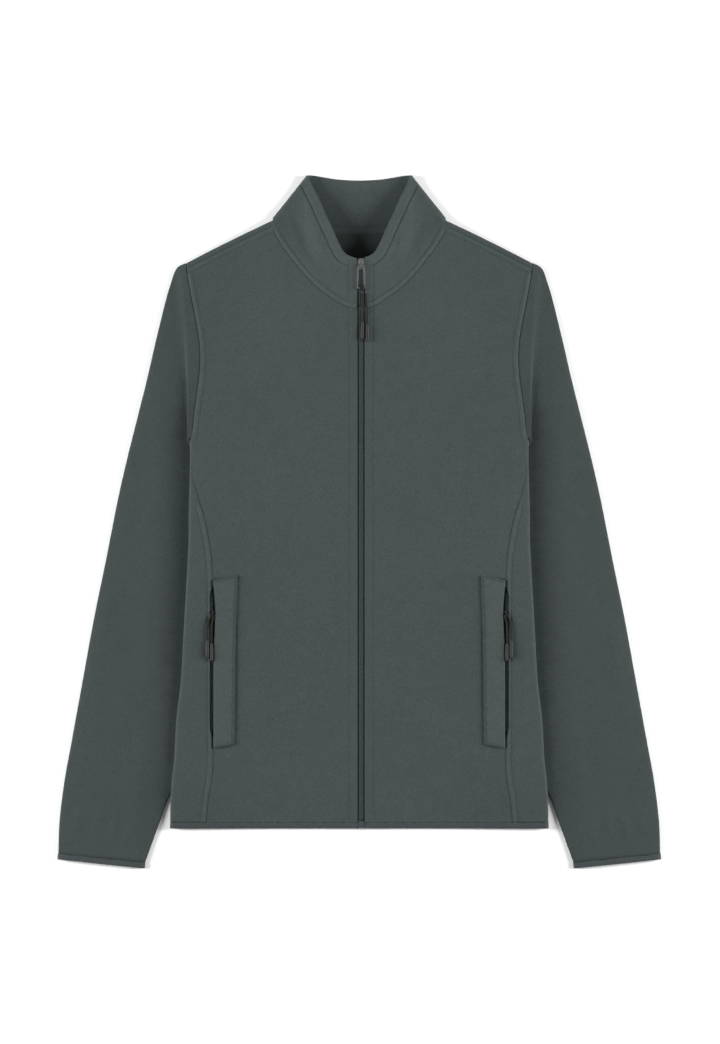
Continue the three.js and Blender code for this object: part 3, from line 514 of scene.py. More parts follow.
def body_point(side, y, length):
    """A point of the body at a level, by the cloth's length from the side fold: front +, back -."""
    side, y, length = np.broadcast_arrays(*(np.asarray(v, dtype=float) for v in (side, y, length)))
    edge = edge_at(y)
    run = np.abs(length)
    sign = np.where(length > 0, 1.0, -1.0)
    angle = np.minimum(run / FOLD_RADIUS, math.pi / 2)
    flat_x = side * (edge - FOLD_RADIUS - np.maximum(run - QUARTER, 0))
    high = layer_height(flat_x, y, 1)
    low = layer_height(flat_x, y, -1)
    round_z = (high + low) / 2 + (high - low) / 2 * np.sin(angle) * sign
    on_flat = run >= QUARTER
    x = np.where(on_flat, flat_x, side * (edge - FOLD_RADIUS + FOLD_RADIUS * np.cos(angle)))
    z = np.where(on_flat, np.where(sign > 0, high, low), round_z)
    return np.stack([x, y, z], axis=-1)


def length_to(width, y):
    """The cloth's length from the side fold to a width on the flat, or the width at a length."""
    return edge_at(y) - FOLD_RADIUS + QUARTER - width


def zip_edge(side):
    return ZIP_CLEAR + side * ZIP_X


def pocket_gape(y):
    return ease((y - POCKET_BOTTOM) / POCKET_RAMP) * ease((POCKET_TOP - y) / POCKET_RAMP)


def front_seam_length(y):
    return BODY.read(y, "seam")


def side_seam_x(y):
    """Width of the front side seam, and above the armpit of the armhole seam."""
    return length_to(front_seam_length(y), y)


# Pieces of cloth as grids of points: rows along the piece, columns across it

def grid(rows, columns):
    return np.meshgrid(columns, rows)


def joined(*runs):
    """Even steps from each run's start to its end, one run after another: start, end and count."""
    parts = [np.linspace(start, end, count) for start, end, count in runs]
    return np.concatenate([parts[0]] + [part[1:] for part in parts[1:]])


FINE_STEP = 0.0006
PLAIN_STEP = 0.0030


def shares(length, fine_start, fine_end):
    """Steps from 0 to 1 along a length, fine for a stretch at its start and one at its end."""
    start = np.arange(0, fine_start, FINE_STEP)
    end = length - np.arange(0, fine_end, FINE_STEP)[::-1]
    low = start[-1] if len(start) else 0.0
    high = end[0] if len(end) else length
    middle = np.linspace(low, high, max(int((high - low) / PLAIN_STEP), 2) + 1)
    return np.unique(np.concatenate([start, middle, end, [0.0, length]]).round(7)) / length


def front_panel_points(side):
    def side_length(y):
        return front_seam_length(y) + SEAM / 2 + POCKET_FRONT_GAPE * pocket_gape(y)

    def side_width(y):
        return length_to(side_length(y), y)

    def top_at(width):
        shoulder = shoulder_at(width) - FORWARD_SEAM - SEAM / 2
        corner = NECK_CORNER_LIFT * ease((width - NECK_CORNER_START) / NECK_CORNER_REACH)
        return np.where(width < NECK_POINT_X, np.minimum(neck_seam_at(width) + corner, shoulder), shoulder)

    top_width = side_width(ARM_TOP_Y)
    inner = zip_edge(side)
    shoulder_share = (top_width - NECK_POINT_X) / (top_width - inner)
    shoulder_columns = shoulder_share * shares(top_width - NECK_POINT_X, EDGE_FINE, 0)
    neck_columns = mix(shoulder_share, 1, shares(NECK_POINT_X - inner, NECK_CORNER_FINE, ZIP_FINE))
    rows = shares(ARM_TOP_Y - PANEL_LOW, 0.004, SHOULDER_FINE)
    u, v = grid(rows, np.concatenate([shoulder_columns, neck_columns[1:]]))
    y = mix(PANEL_LOW, top_at(mix(top_width, inner, u)), v)
    width = mix(side_width(mix(PANEL_LOW, ARM_TOP_Y, v)), inner, u)
    return body_point(side, y, length_to(width, y))


def side_panel_points(side):
    u, v = grid(np.linspace(0, 1, SIDE_ROWS), np.linspace(0, 1, SIDE_COLUMNS))
    y = mix(PANEL_LOW, ARMPIT_Y - PANEL_SEAM, v)
    front = front_seam_length(y) - SEAM / 2 - POCKET_SIDE_GAPE * pocket_gape(y)
    back = SEAM - BODY.read(y, "back")
    return body_point(side, y, mix(front, back, u))


def over_shoulder(width, share):
    """A level past the top of the back, round the shoulder's fold to the forward seam."""
    round_part = 0.6
    angle = math.pi * np.minimum(share / round_part, 1)
    past = np.maximum((share - round_part) / (1 - round_part), 0)
    drop = (FORWARD_SEAM - FOLD_RADIUS - SEAM) * past
    y = shoulder_at(width) - FOLD_RADIUS + FOLD_RADIUS * np.sin(angle) - drop
    return y, share > round_part / 2


def back_panel_points():
    neck_start = 0.0898
    neck_end = 0.0925
    approach = 0.012
    over_part = 0.7
    neck_share = neck_start / SHOULDER_END
    corner_share = neck_end / SHOULDER_END
    half = joined((0, neck_share, 34), (neck_share, corner_share, 7), (corner_share, 1, 36))
    columns = np.concatenate([-half[:0:-1], half])
    rows = joined((0, 1, BACK_ROWS), (1, 2, BACK_TOP_ROWS))
    u, v = grid(rows, columns)
    side = np.where(u < 0, -1.0, 1.0)
    top_width = np.abs(u) * SHOULDER_END
    side_top = shoulder_at(SHOULDER_END) - FOLD_RADIUS - approach
    reach = clamp01((top_width - neck_start) / (neck_end - neck_start))
    back_top = mix(back_neck_at(top_width) + NECK_OVERLAP, shoulder_at(top_width) - FOLD_RADIUS, reach)
    above = v - 1
    split = 1 - over_part * reach
    rising = mix(back_top - approach, back_top, np.minimum(above / split, 1))
    over_y, over_front = over_shoulder(top_width, np.maximum(above - split, 0) / over_part)
    past = (v > 1) & (above > split)
    y = np.where(v > 1, rising, mix(PANEL_LOW, back_top - approach, np.minimum(v, 1)))
    y = np.where(past, over_y, y)
    sign = np.where(past & over_front, 1.0, -1.0)
    side_y = np.where(v <= 1, mix(PANEL_LOW, side_top, v), np.maximum(y, side_top))
    back = BODY.read(side_y, "back") + SEAM / 2
    length = mix(length_to(0, y), back, np.abs(u))
    flat = body_point(side, y, -length)
    x = side * length_to(length, np.minimum(y, ARM_TOP_Y))
    folded = np.stack([x, y, layer_height(x, y, sign)], axis=-1)
    return np.where((v <= 1)[..., None], flat, folded)


def ring_share(turn):
    angle = 2 * math.pi * turn
    return (1 - np.cos(angle)) / 2, np.cbrt(np.abs(np.sin(angle))), np.where(turn < 0.5, 1.0, -1.0)


def armhole_points(side, turn):
    share, _, front = ring_share(turn)
    low = ARMPIT_Y + ARMPIT_GAP
    y = mix(low, shoulder_at(SHOULDER_END), share)
    tuck = np.sqrt(clamp01((y - low) / 0.003))
    seam = np.where(front > 0, BODY.read(y, "seam"), BODY.read(y, "back"))
    length = (seam - SLEEVE_SEAM) * tuck
    flat_x = side * length_to(length, np.minimum(y, ARM_TOP_Y))
    flat = np.stack([flat_x, y, layer_height(flat_x, y, front)], axis=-1)
    rounded = body_point(side, y, length * front)
    return np.where((length < QUARTER)[..., None], rounded, flat)


def sleeve_ring_points(side, ring, turn):
    share, roundness, front = ring_share(turn)
    row = {name: SLEEVE.read(ring, name) for name in SLEEVE.columns}
    width = mix(row["in_x"], row["out_x"], share) - row["bow"] * np.sin(math.pi * share)
    y = mix(row["in_y"], row["out_y"], share)
    end = mix(row["in_z"], row["out_z"], share)
    body_x = side * np.minimum(width, edge_at(y) - FOLD_RADIUS)
    crown = SLEEVE_CROWN * ease((width - edge_at(y) - SLEEVE_CROWN_START) / SLEEVE_CROWN_REACH)
    top = CLOTH / 2 + SLEEVE_FLAT_SPREAD + crown + SLEEVE_CREASES.height(side * width, y)
    high = mix(top, layer_height(body_x, y, 1), row["front"])
    under = CLOTH / 2 + UNDERARM_CREASES.height(side * width, y)
    low = mix(under, layer_height(body_x, y, -1), row["back"])
    z = mix(end, np.where(front > 0, high, low), roundness)
    return np.stack([side * width, y, z], axis=-1)


def sleeve_points(side):
    turns = np.linspace(0, 1, SLEEVE_AROUND, endpoint=False)
    rings = joined((0, 3, SLEEVE_HEAD_RINGS), (3, LAST_RING + 1, SLEEVE_RINGS))
    turn, v = grid(rings, turns)
    armhole = armhole_points(side, turn)
    first = sleeve_ring_points(side, np.zeros_like(v), turn)
    start = armhole + (first - armhole) * np.minimum(v, 1)[..., None]
    return np.where((v < 1)[..., None], start, sleeve_ring_points(side, np.maximum(v - 1, 0), turn))


def collar_settle(y):
    return COLLAR_SETTLE * ease((y - COLLAR_SETTLE_START) / COLLAR_SETTLE_REACH)


def collar_front_height(x, y):
    """Height of the collar's front at the middle of its cloth, away from its base and its fold."""
    return top_height(x, y) - collar_settle(y) + collar_relief.height(x, y) + COLLAR_CREASES.height(x, y)


def collar_points(at, v):
    """Points of the collar by signed share of its half length and share of its height."""
    at, v = np.broadcast_arrays(np.asarray(at, dtype=float), np.asarray(v, dtype=float))
    side = np.where(at < 0, -1.0, 1.0)
    station = np.abs(at)
    share = mix(COLLAR_SEAM / COLLAR_HEIGHT, 1, v)
    base_width = COLLAR.read(station, "base_x")
    width = mix(base_width, COLLAR.read(station, "top_x"), share)
    on_front = ease((station - 0.48) / 0.05)
    on_back = ease((0.4 - station) / 0.03)
    base_y = mix(COLLAR.read(station, "base_y"), neck_seam_at(base_width), on_front)
    base_y = mix(base_y, back_neck_at(base_width), on_back)
    y = mix(base_y, COLLAR.read(station, "top_y"), share)
    rise = COLLAR.read(station, "rise")
    reach = np.minimum(width, NECK_SEAM.key[-1])
    settle = collar_settle(y) * ease(v / COLLAR_SETTLE_SHARE)
    at_fold = ease(1 - np.abs(station - FOLD_STATION) / FOLD_STATION_REACH)
    at_fold = at_fold * ease(1 - v / COLLAR_SETTLE_SHARE)
    high = mix(top_height(side * reach, y) - settle, plain_height(side * width, y, 1), at_fold)
    low = mix(COLLAR_CLOTH / 2, plain_height(side * width, y, -1), at_fold)
    z = mix(low, high, clamp01(rise))
    outside = collar_relief.height(side * width, y) + COLLAR_CREASES.height(side * width, y)
    inside = collar_back_relief.height(side * width, y) + COLLAR_BACK_CREASES.height(side * width, y)
    z = np.maximum(z + mix(inside, outside, clamp01(rise)), COLLAR_SHELL / 2 + 0.0001)
    return np.stack([side * width, y, z], axis=-1)


def collar_end(side):
    stations = np.linspace(0.9, 1, 2001)
    widths = np.abs(collar_points(side * stations, 0.5)[..., 0])
    return stations[widths >= zip_edge(side)][-1]


def collar_grid():
    shared = [(0, 0.37, 60), (0.37, 0.56, 60), (0.56, 0.94, 80)]
    right = joined(*shared, (0.94, collar_end(1), 12))
    left = joined(*shared, (0.94, collar_end(-1), 12))
    rows = shares(COLLAR_HEIGHT, COLLAR_FINE, COLLAR_EDGE_FINE)
    return grid(rows, np.concatenate([-left[:0:-1], right]))


def hem_binding_points():
    half = joined((0, 0.95, 160), (0.95, 1.05, 60), (1.05, 2, 200))
    u, v = grid(np.linspace(0, 1, BINDING_ROWS), np.concatenate([-half[:0:-1], half]))
    side = np.where(u < 0, -1.0, 1.0)
    run = np.abs(u)
    y = mix(HEM_Y, HEM_Y + BINDING_WIDTH, v)
    whole = length_to(zip_edge(side), y)
    length = np.where(run < 1, -mix(length_to(0, y), 0, run), whole * (run - 1))
    points = body_point(side, y, length)
    wave = unevenness(points[..., 0] * 1.7 + (run > 1) * 0.4, side)
    points[..., 1] += HEM_WAVE * wave * v * v
    bulge = np.sin(math.pi * clamp01(v)) * HEM_BULGE
    points[..., 2] += np.where(run < 1, HEM_LIFT_UNDER, bulge - HEM_SINK_TOP)
    return points


def cuff_binding_points(side):
    turn, v = grid(np.linspace(0, 1, BINDING_ROWS), np.linspace(0, 1, SLEEVE_AROUND, endpoint=False))
    points = sleeve_ring_points(side, np.full_like(v, LAST_RING), turn)
    points[..., 0] += side * CUFF_DRIFT * v
    points[..., 1] -= CUFF_GAP + CUFF_WIDTH * v
    points[..., 1] += HEM_WAVE * unevenness(turn * 0.2, side) * (1 - v) ** 2
    points[..., 2] += (CUFF_BINDING - CLOTH) / 2
    return points


def zip_tape_points(side):
    u, v = grid(np.linspace(0, 1, TAPE_ROWS), np.linspace(0, 1, TAPE_COLUMNS))
    x = ZIP_X + side * mix(PANEL_SEAM, ZIP_TAPE_WIDTH, u)
    y = mix(HEM_Y, COLLAR_TOP_Y - 0.001, v)
    extra = NECK_TAPE_DROP * ease((y - NECK_LOFT_BOTTOM) / (NECK_LOFT_TOP - NECK_LOFT_BOTTOM))
    return np.stack([x, y, top_height(x, y) - TAPE_DROP - extra], axis=-1)


def welt_points(side):
    u, v = grid(np.linspace(0, 1, WELT_ROW_COUNT), np.linspace(0, 1, WELT_COLUMNS))
    y = mix(WELT_ROWS.key[0], WELT_ROWS.key[-1], v)
    width = mix(WELT_ROWS.read(y, "outer"), WELT_ROWS.read(y, "inner"), u)
    x = side * width
    slanted = y + WELT_SLANT * (u - 0.5)
    rise = CLOTH / 2 + PANEL_SEAM + WELT / 2
    folds = WELT_CREASES.height(x, slanted) + welt_relief.height(x, slanted)
    z = layer_height(x, slanted, 1) + rise + folds
    return np.stack([x, slanted, z], axis=-1)


def pocket_tape_points(side):
    u, v = grid(np.linspace(0, 1, POCKET_TAPE_ROWS), np.linspace(0, 1, TAPE_COLUMNS))
    x = side * mix(POCKET_TAPE_OUT, POCKET_TAPE_IN, u)
    y = mix(POCKET_BOTTOM - 0.001, POCKET_TOP + 0.001, v)
    z = layer_height(x, y, 1) - CLOTH / 2 - PANEL_SEAM - TAPE / 2
    return np.stack([x, y, z], axis=-1)


# Creases given one by one: both ends of each line, its width and its height, on the front of the body
FRONT_CREASES = Creases([
    (-0.176, 0.250, -0.112, 0.258, 0.0070, 0.0008),
    (-0.170, 0.236, -0.128, 0.232, 0.0060, -0.0006),
    (0.116, 0.250, 0.178, 0.268, 0.0070, 0.0009),
    (0.120, 0.236, 0.160, 0.244, 0.0060, -0.0005),
    (0.016, 0.192, 0.064, 0.196, 0.0050, -0.0008),
    (0.018, 0.202, 0.056, 0.206, 0.0055, 0.0006),
    (-0.058, 0.214, -0.020, 0.204, 0.0060, 0.0005),
    (-0.150, 0.176, -0.124, 0.110, 0.0100, 0.0007),
    (0.150, 0.168, 0.132, 0.098, 0.0095, 0.0008),
    (-0.104, 0.150, -0.078, -0.020, 0.0260, 0.0009),
    (0.110, 0.120, 0.086, -0.060, 0.0280, 0.0010),
    (-0.046, 0.080, -0.050, -0.110, 0.0200, -0.0006),
    (0.052, 0.060, 0.046, -0.140, 0.0210, -0.0006),
    (-0.130, 0.030, -0.100, -0.052, 0.0150, 0.0008),
    (0.134, 0.020, 0.106, -0.050, 0.0150, 0.0007),
    (-0.132, -0.058, -0.104, -0.049, 0.0042, 0.0009),
    (-0.134, -0.068, -0.112, -0.074, 0.0040, -0.0006),
    (0.131, -0.058, 0.102, -0.050, 0.0042, 0.0009),
    (0.134, -0.069, 0.110, -0.078, 0.0040, -0.0006),
    (-0.134, -0.249, -0.103, -0.263, 0.0050, 0.0010),
    (-0.136, -0.240, -0.116, -0.238, 0.0045, -0.0006),
    (0.133, -0.248, 0.106, -0.264, 0.0050, 0.0010),
    (0.136, -0.240, 0.114, -0.236, 0.0045, -0.0006),
    (-0.118, -0.240, -0.088, -0.322, 0.0170, 0.0011),
    (0.122, -0.238, 0.082, -0.318, 0.0180, 0.0012),
    (-0.052, -0.180, -0.046, -0.318, 0.0200, -0.0007),
    (0.044, -0.190, 0.040, -0.322, 0.0180, -0.0006),
    (-0.172, -0.250, -0.158, -0.322, 0.0060, 0.0009),
    (0.176, -0.240, 0.162, -0.318, 0.0065, 0.0009),
    (-0.190, -0.060, -0.170, -0.052, 0.0045, 0.0007),
    (0.190, -0.034, 0.168, -0.046, 0.0045, 0.0007),
    (-0.184, 0.072, -0.158, 0.050, 0.0060, 0.0007),
    (0.184, 0.070, 0.160, 0.044, 0.0060, 0.0007),
])

# The underside lies flat but for where the cloth lifts a little off the floor
BACK_CREASES = Creases([
    (-0.060, 0.180, -0.040, -0.040, 0.0180, 0.0006),
    (0.074, 0.120, 0.052, -0.120, 0.0190, 0.0007),
    (-0.020, -0.060, 0.012, -0.260, 0.0160, 0.0006),
    (-0.130, 0.220, -0.090, 0.120, 0.0110, 0.0007),
    (0.128, 0.214, 0.096, 0.116, 0.0120, 0.0007),
    (-0.112, -0.120, -0.086, -0.300, 0.0140, 0.0006),
    (0.106, -0.150, 0.092, -0.310, 0.0150, 0.0007),
    (-0.050, 0.300, 0.034, 0.290, 0.0070, 0.0006),
    (0.020, -0.280, 0.060, -0.318, 0.0080, 0.0006),
    (-0.164, 0.060, -0.120, 0.020, 0.0080, 0.0006),
    (0.160, 0.066, 0.118, 0.036, 0.0080, 0.0006),
])

SLEEVE_CREASES = Creases([
    (-0.214, 0.200, -0.268, 0.020, 0.0120, 0.0008),
    (-0.236, 0.060, -0.262, -0.110, 0.0160, -0.0008),
    (-0.272, -0.060, -0.296, -0.220, 0.0130, 0.0010),
    (-0.232, -0.170, -0.262, -0.290, 0.0140, -0.0008),
    (-0.206, 0.090, -0.232, 0.072, 0.0060, 0.0007),
    (-0.214, 0.010, -0.250, -0.006, 0.0070, 0.0007),
    (-0.256, -0.090, -0.222, -0.112, 0.0070, 0.0008),
    (-0.290, -0.120, -0.256, -0.142, 0.0065, 0.0006),
    (-0.292, -0.352, -0.284, -0.312, 0.0050, 0.0009),
    (-0.274, -0.356, -0.266, -0.322, 0.0045, 0.0008),
    (-0.256, -0.360, -0.252, -0.330, 0.0045, 0.0008),
    (-0.312, -0.348, -0.304, -0.306, 0.0055, 0.0009),
    (0.212, 0.206, 0.262, 0.040, 0.0120, 0.0008),
    (0.238, 0.080, 0.268, -0.120, 0.0170, -0.0008),
    (0.270, -0.080, 0.300, -0.240, 0.0130, 0.0010),
    (0.236, -0.160, 0.258, -0.300, 0.0140, -0.0008),
    (0.208, 0.104, 0.230, 0.082, 0.0060, 0.0007),
    (0.220, 0.022, 0.248, -0.002, 0.0070, 0.0007),
    (0.262, -0.066, 0.228, -0.098, 0.0070, 0.0008),
    (0.296, -0.150, 0.260, -0.164, 0.0065, 0.0006),
    (0.296, -0.350, 0.288, -0.318, 0.0050, 0.0009),
    (0.278, -0.356, 0.272, -0.316, 0.0050, 0.0008),
    (0.258, -0.360, 0.252, -0.324, 0.0045, 0.0008),
    (0.314, -0.344, 0.308, -0.310, 0.0055, 0.0009),
])

UNDERARM_CREASES = Creases([
    (-0.222, 0.160, -0.256, 0.010, 0.0110, 0.0006),
    (-0.250, -0.020, -0.286, -0.180, 0.0130, 0.0007),
    (-0.230, -0.200, -0.256, -0.310, 0.0120, 0.0006),
    (-0.298, -0.240, -0.312, -0.340, 0.0090, 0.0006),
    (0.226, 0.150, 0.252, 0.020, 0.0110, 0.0006),
    (0.252, -0.010, 0.288, -0.170, 0.0130, 0.0007),
    (0.226, -0.190, 0.256, -0.304, 0.0120, 0.0006),
    (0.296, -0.230, 0.314, -0.336, 0.0090, 0.0006),
])

WELT_CREASES = Creases([
    (-0.158, -0.080, -0.137, -0.090, 0.0035, 0.0005),
    (-0.157, -0.098, -0.138, -0.104, 0.0040, 0.0004),
    (-0.159, -0.226, -0.138, -0.218, 0.0040, 0.0004),
    (-0.149, -0.110, -0.147, -0.210, 0.0060, 0.0004),
    (0.158, -0.078, 0.137, -0.086, 0.0035, 0.0005),
    (0.157, -0.096, 0.138, -0.106, 0.0040, 0.0004),
    (0.159, -0.222, 0.138, -0.216, 0.0040, 0.0004),
    (0.149, -0.120, 0.147, -0.216, 0.0060, 0.0004),
])

COLLAR_CREASES = Creases([
    (-0.064, 0.366, -0.034, 0.276, 0.0055, 0.0018),
    (-0.078, 0.350, -0.046, 0.276, 0.0055, -0.0016),
    (-0.040, 0.330, -0.016, 0.270, 0.0060, -0.0009),
    (0.062, 0.362, 0.036, 0.280, 0.0060, 0.0014),
    (0.074, 0.340, 0.050, 0.284, 0.0060, -0.0012),
    (-0.064, 0.296, -0.040, 0.262, 0.0050, 0.0008),
    (0.064, 0.294, 0.042, 0.262, 0.0050, 0.0008),
])
COLLAR_BACK_CREASES = Creases([
    (-0.030, 0.348, 0.034, 0.352, 0.0080, 0.0008),
])

# Seams with their twin rows of stitching. A seam lies in a groove, its allowance makes a ridge beside
# it, and the stitching draws in the cloth beyond that.
SEAM_DEPTH = -0.0009
SEAM_WIDTH = 0.0010
# Painted shade in the seam's groove
SEAM_PAINTED_SHADE = -0.20
RIDGE_HEIGHT = 0.0006
RIDGE_WIDTH = 0.0018
# Painted highlight on the ridge beside a seam
RIDGE_PAINTED_HIGHLIGHT = 0.12
RIDGE_PLACE = 0.42
EDGE_RIDGE = 0.0028
EDGE_DEPTH = -0.0003
SIDE_STITCH_TOP = 0.016
SEAM_TOP_LEVELS = np.linspace(SIDE_STITCH_TOP + 0.001, 0.060, 14)
BACK_STITCH_TOP = 0.010
BACK_ARM_LOW = ARMPIT_Y + 0.040
STITCH_DEPTH = -0.0005
STITCH_WIDTH = 0.0009
# Painted shade along each row of stitching
STITCH_PAINTED_SHADE = -0.09
PUCKER = 0.0003
PUCKER_WIDTH = 0.0050
STITCH_APART = 0.0056
UNDERSIDE_SHARE = -0.5
SLEEVE_TONE = 0.88
WELT_TONE = 1.12
WELT_EDGE_WIDTH = 0.0009
# Painted shade along the welt's edges, and painted shadow of the welt on the front beside them
WELT_EDGE_PAINTED_SHADE = -0.30
WELT_PRESS = -0.0004
COLLAR_INSIDE_TONE = 1.16
# Painted shade in the valley beside the body: both levels, distance from the fold, width and depth of the
# painted shade
VALLEY_PAINTED_SHADE = [
    (-0.260, 0.150, 0.004, 0.0090, -0.13),
    (-0.190, 0.120, 0.010, 0.0120, -0.12),
    (-0.150, 0.090, 0.017, 0.0110, -0.10),
]
WELT_STITCH_IN = 0.0022
COLLAR_EDGE_STITCH = 0.0100
COLLAR_EDGE_STITCH_TOP = 0.358
INSIDE_STITCH = 0.0085


def offset(points, distance):
    """The points moved sideways, to the left of the way they run."""
    points = np.asarray(points, dtype=float)
    way = np.gradient(points, axis=0)
    way /= np.hypot(way[:, 0], way[:, 1])[:, None]
    return points + distance * np.stack([-way[:, 1], way[:, 0]], axis=1)


def add_seam(relief, points, apart, phase, share=1.0):
    relief.add(Line(points), SEAM_DEPTH * share, SEAM_WIDTH, SEAM_PAINTED_SHADE)
    relief.add(Line(offset(points, apart * RIDGE_PLACE)), RIDGE_HEIGHT * share, RIDGE_WIDTH, RIDGE_PAINTED_HIGHLIGHT)
    add_stitching(relief, offset(points, apart), phase, share)


def add_stitching(relief, points, phase, share=1.0):
    relief.add(Line(points), STITCH_DEPTH * share, STITCH_WIDTH, STITCH_PAINTED_SHADE, PUCKER, PUCKER_WIDTH, phase)


def flat_line(xs, ys):
    return np.stack(np.broadcast_arrays(xs, ys), axis=1).astype(float)


def armhole_line(side):
    ys = np.linspace(ARMPIT_Y + 0.003, ARM_TOP_Y - 0.003, 26)
    return flat_line(side * side_seam_x(ys), ys)


def side_seam_line(side, top):
    ys = np.linspace(PANEL_LOW, top, 50)
    return flat_line(side * side_seam_x(ys), ys)


def back_seam_line(side, low, high):
    ys = np.linspace(low, high, 40)
    return flat_line(side * length_to(BODY.read(ys, "back"), ys), ys)


def shoulder_line(side):
    xs = np.linspace(NECK_POINT_X + 0.002, SHOULDER_END, 14)
    return flat_line(side * xs, shoulder_at(xs) - FORWARD_SEAM)


def neck_line(side):
    xs = np.linspace(zip_edge(side), NECK_POINT_X - 0.003, 36)
    return flat_line(side * xs, neck_seam_at(xs))


def collar_edge_line(side):
    """The row of stitching that follows the collar's free edge."""
    stations = np.linspace(0.452, 0.955, 60)
    edge = flat_line(side * COLLAR.read(stations, "top_x"), COLLAR.read(stations, "top_y"))
    return offset(edge, side * COLLAR_EDGE_STITCH)


def zip_stitch_top():
    return neck_seam_at(ZIP_STITCH) - 0.001


def zip_line(side):
    return flat_line(ZIP_X + side * ZIP_STITCH, np.linspace(HEM_Y + BINDING_WIDTH, zip_stitch_top(), 60))


def collar_zip_line(side):
    ys = np.linspace(zip_stitch_top() + 0.004, COLLAR_TOP_Y - 0.004, 20)
    return flat_line(ZIP_X + side * ZIP_STITCH, ys)


def back_neck_line():
    xs = np.linspace(-0.086, 0.086, 40)
    return flat_line(xs, back_neck_at(np.abs(xs)))


def welt_lines(side):
    """The rows of stitching that hold a welt: down its inner edge, and across its top and bottom."""
    low = WELT_ROWS.key[0] + WELT_STITCH_IN
    high = WELT_ROWS.key[-1] - WELT_STITCH_IN
    ys = np.linspace(low, high, 60)
    rows = [flat_line(side * (WELT_ROWS.read(ys, "inner") + WELT_STITCH_IN), ys + WELT_SLANT / 2)]
    for y in (low, high):
        xs = np.linspace(WELT_ROWS.read(y, "outer") - 0.001, WELT_ROWS.read(y, "inner") + 0.001, 16)
        rows.append(flat_line(side * xs, y + WELT_SLANT * np.linspace(-0.5, 0.5, 16)))
    return rows


def welt_outline(side, out):
    """Round the welt's top, inner edge and bottom, at a distance outside them."""
    low = WELT_ROWS.key[0]
    high = WELT_ROWS.key[-1]
    outer = WELT_ROWS.read(high, "outer") - 0.001
    inner = WELT_ROWS.read(np.linspace(high, low, 30), "inner") - out
    tops = np.linspace(outer, inner[0], 8)
    bottoms = np.linspace(inner[-1], outer, 8)
    slant = WELT_SLANT / 2
    xs = np.concatenate([tops[:-1], inner, bottoms[1:]])
    ys = np.concatenate([np.linspace(high - slant, high + slant, 8)[:-1] + out,
                         np.linspace(high + slant + out, low + slant - out, 30),
                         np.linspace(low + slant, low - slant, 8)[1:] - out])
    return flat_line(side * xs, ys)


def add_valley_shade(side):
    """Painted shade on the sleeve where it dips towards the body's fold."""
    for low, high, out, width, tone in VALLEY_PAINTED_SHADE:
        ys = np.linspace(low, high, 24)
        line = Line(flat_line(side * (edge_at(ys) + out), ys))
        sleeve_valley_shade.add(line, 0.0, width, tone)


def add_all_relief():
    for side in (-1, 1):
        add_seam(front_relief, armhole_line(side), side * STITCH_APART, 1.0 + side)
        add_seam(front_relief, side_seam_line(side, SIDE_STITCH_TOP), -side * STITCH_APART, 2.0 + side)
        seam_top = flat_line(side * side_seam_x(SEAM_TOP_LEVELS), SEAM_TOP_LEVELS)
        front_relief.add(Line(seam_top), SEAM_DEPTH, SEAM_WIDTH, SEAM_PAINTED_SHADE)
        add_seam(front_relief, shoulder_line(side), -side * STITCH_APART, 3.0 + side)
        front_relief.add(Line(neck_line(side)), SEAM_DEPTH, SEAM_WIDTH, SEAM_PAINTED_SHADE)
        add_stitching(front_relief, zip_line(side), 4.0 + side)
        add_seam(collar_relief, neck_line(side), side * STITCH_APART, 5.0 + side)
        add_stitching(collar_relief, collar_edge_line(side), 6.0 + side)
        collar_relief.add(Line(collar_edge_line(side)), EDGE_DEPTH, SEAM_WIDTH, SEAM_PAINTED_SHADE)
        for out in (-EDGE_RIDGE, EDGE_RIDGE):
            ridge = Line(offset(collar_edge_line(side), out))
            collar_relief.add(ridge, RIDGE_HEIGHT / 2, RIDGE_WIDTH, RIDGE_PAINTED_HIGHLIGHT / 2)
        add_stitching(collar_relief, collar_zip_line(side), 5.5 + side)
        for low, high in ((PANEL_LOW, BACK_STITCH_TOP), (BACK_ARM_LOW, ARM_TOP_Y - 0.010)):
            seam = back_seam_line(side, low, high)
            add_seam(back_relief, seam, side * STITCH_APART, side, UNDERSIDE_SHARE)
    add_stitching(collar_back_relief, back_neck_line() + (0, INSIDE_STITCH), 7.0)
    collar_back_relief.add(Line(back_neck_line()), SEAM_DEPTH / 2, SEAM_WIDTH, SEAM_PAINTED_SHADE)
    for side in (-1, 1):
        add_valley_shade(side)
        # Painted shade along the welt's edge, and a painted shadow of the welt on the front beside it
        welt_relief.add(Line(welt_outline(side, -0.0002)), 0.0, WELT_EDGE_WIDTH, WELT_EDGE_PAINTED_SHADE)
        front_relief.add(Line(welt_outline(side, 0.0006)), WELT_PRESS, WELT_EDGE_WIDTH, WELT_EDGE_PAINTED_SHADE)
        for row in welt_lines(side):
            add_stitching(welt_relief, row, 8.0 + side)


add_all_relief()


# Meshes and pieces

def mesh_object(name, points, faces, material, body, slot):
    mesh = bpy.data.meshes.new(name)
    mesh.from_pydata([tuple(p) for p in points], [], [tuple(f) for f in faces])
    mesh.update()
    mesh.polygons.foreach_set("use_smooth", [True] * len(mesh.polygons))
    mesh.materials.append(material)
    return place(bpy.data.objects.new(name, mesh), body, slot)


def place(piece, body, slot):
    bpy.context.scene.collection.objects.link(piece)
    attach(piece, body)
    return piece


def grid_faces(rows, columns, ring):
    faces = []
    cells = columns if ring else columns - 1
    for j in range(rows - 1):
        for i in range(cells):
            after = (i + 1) % columns
            low = j * columns
            high = low + columns
            faces.append((low + i, low + after, high + after, high + i))
    return faces


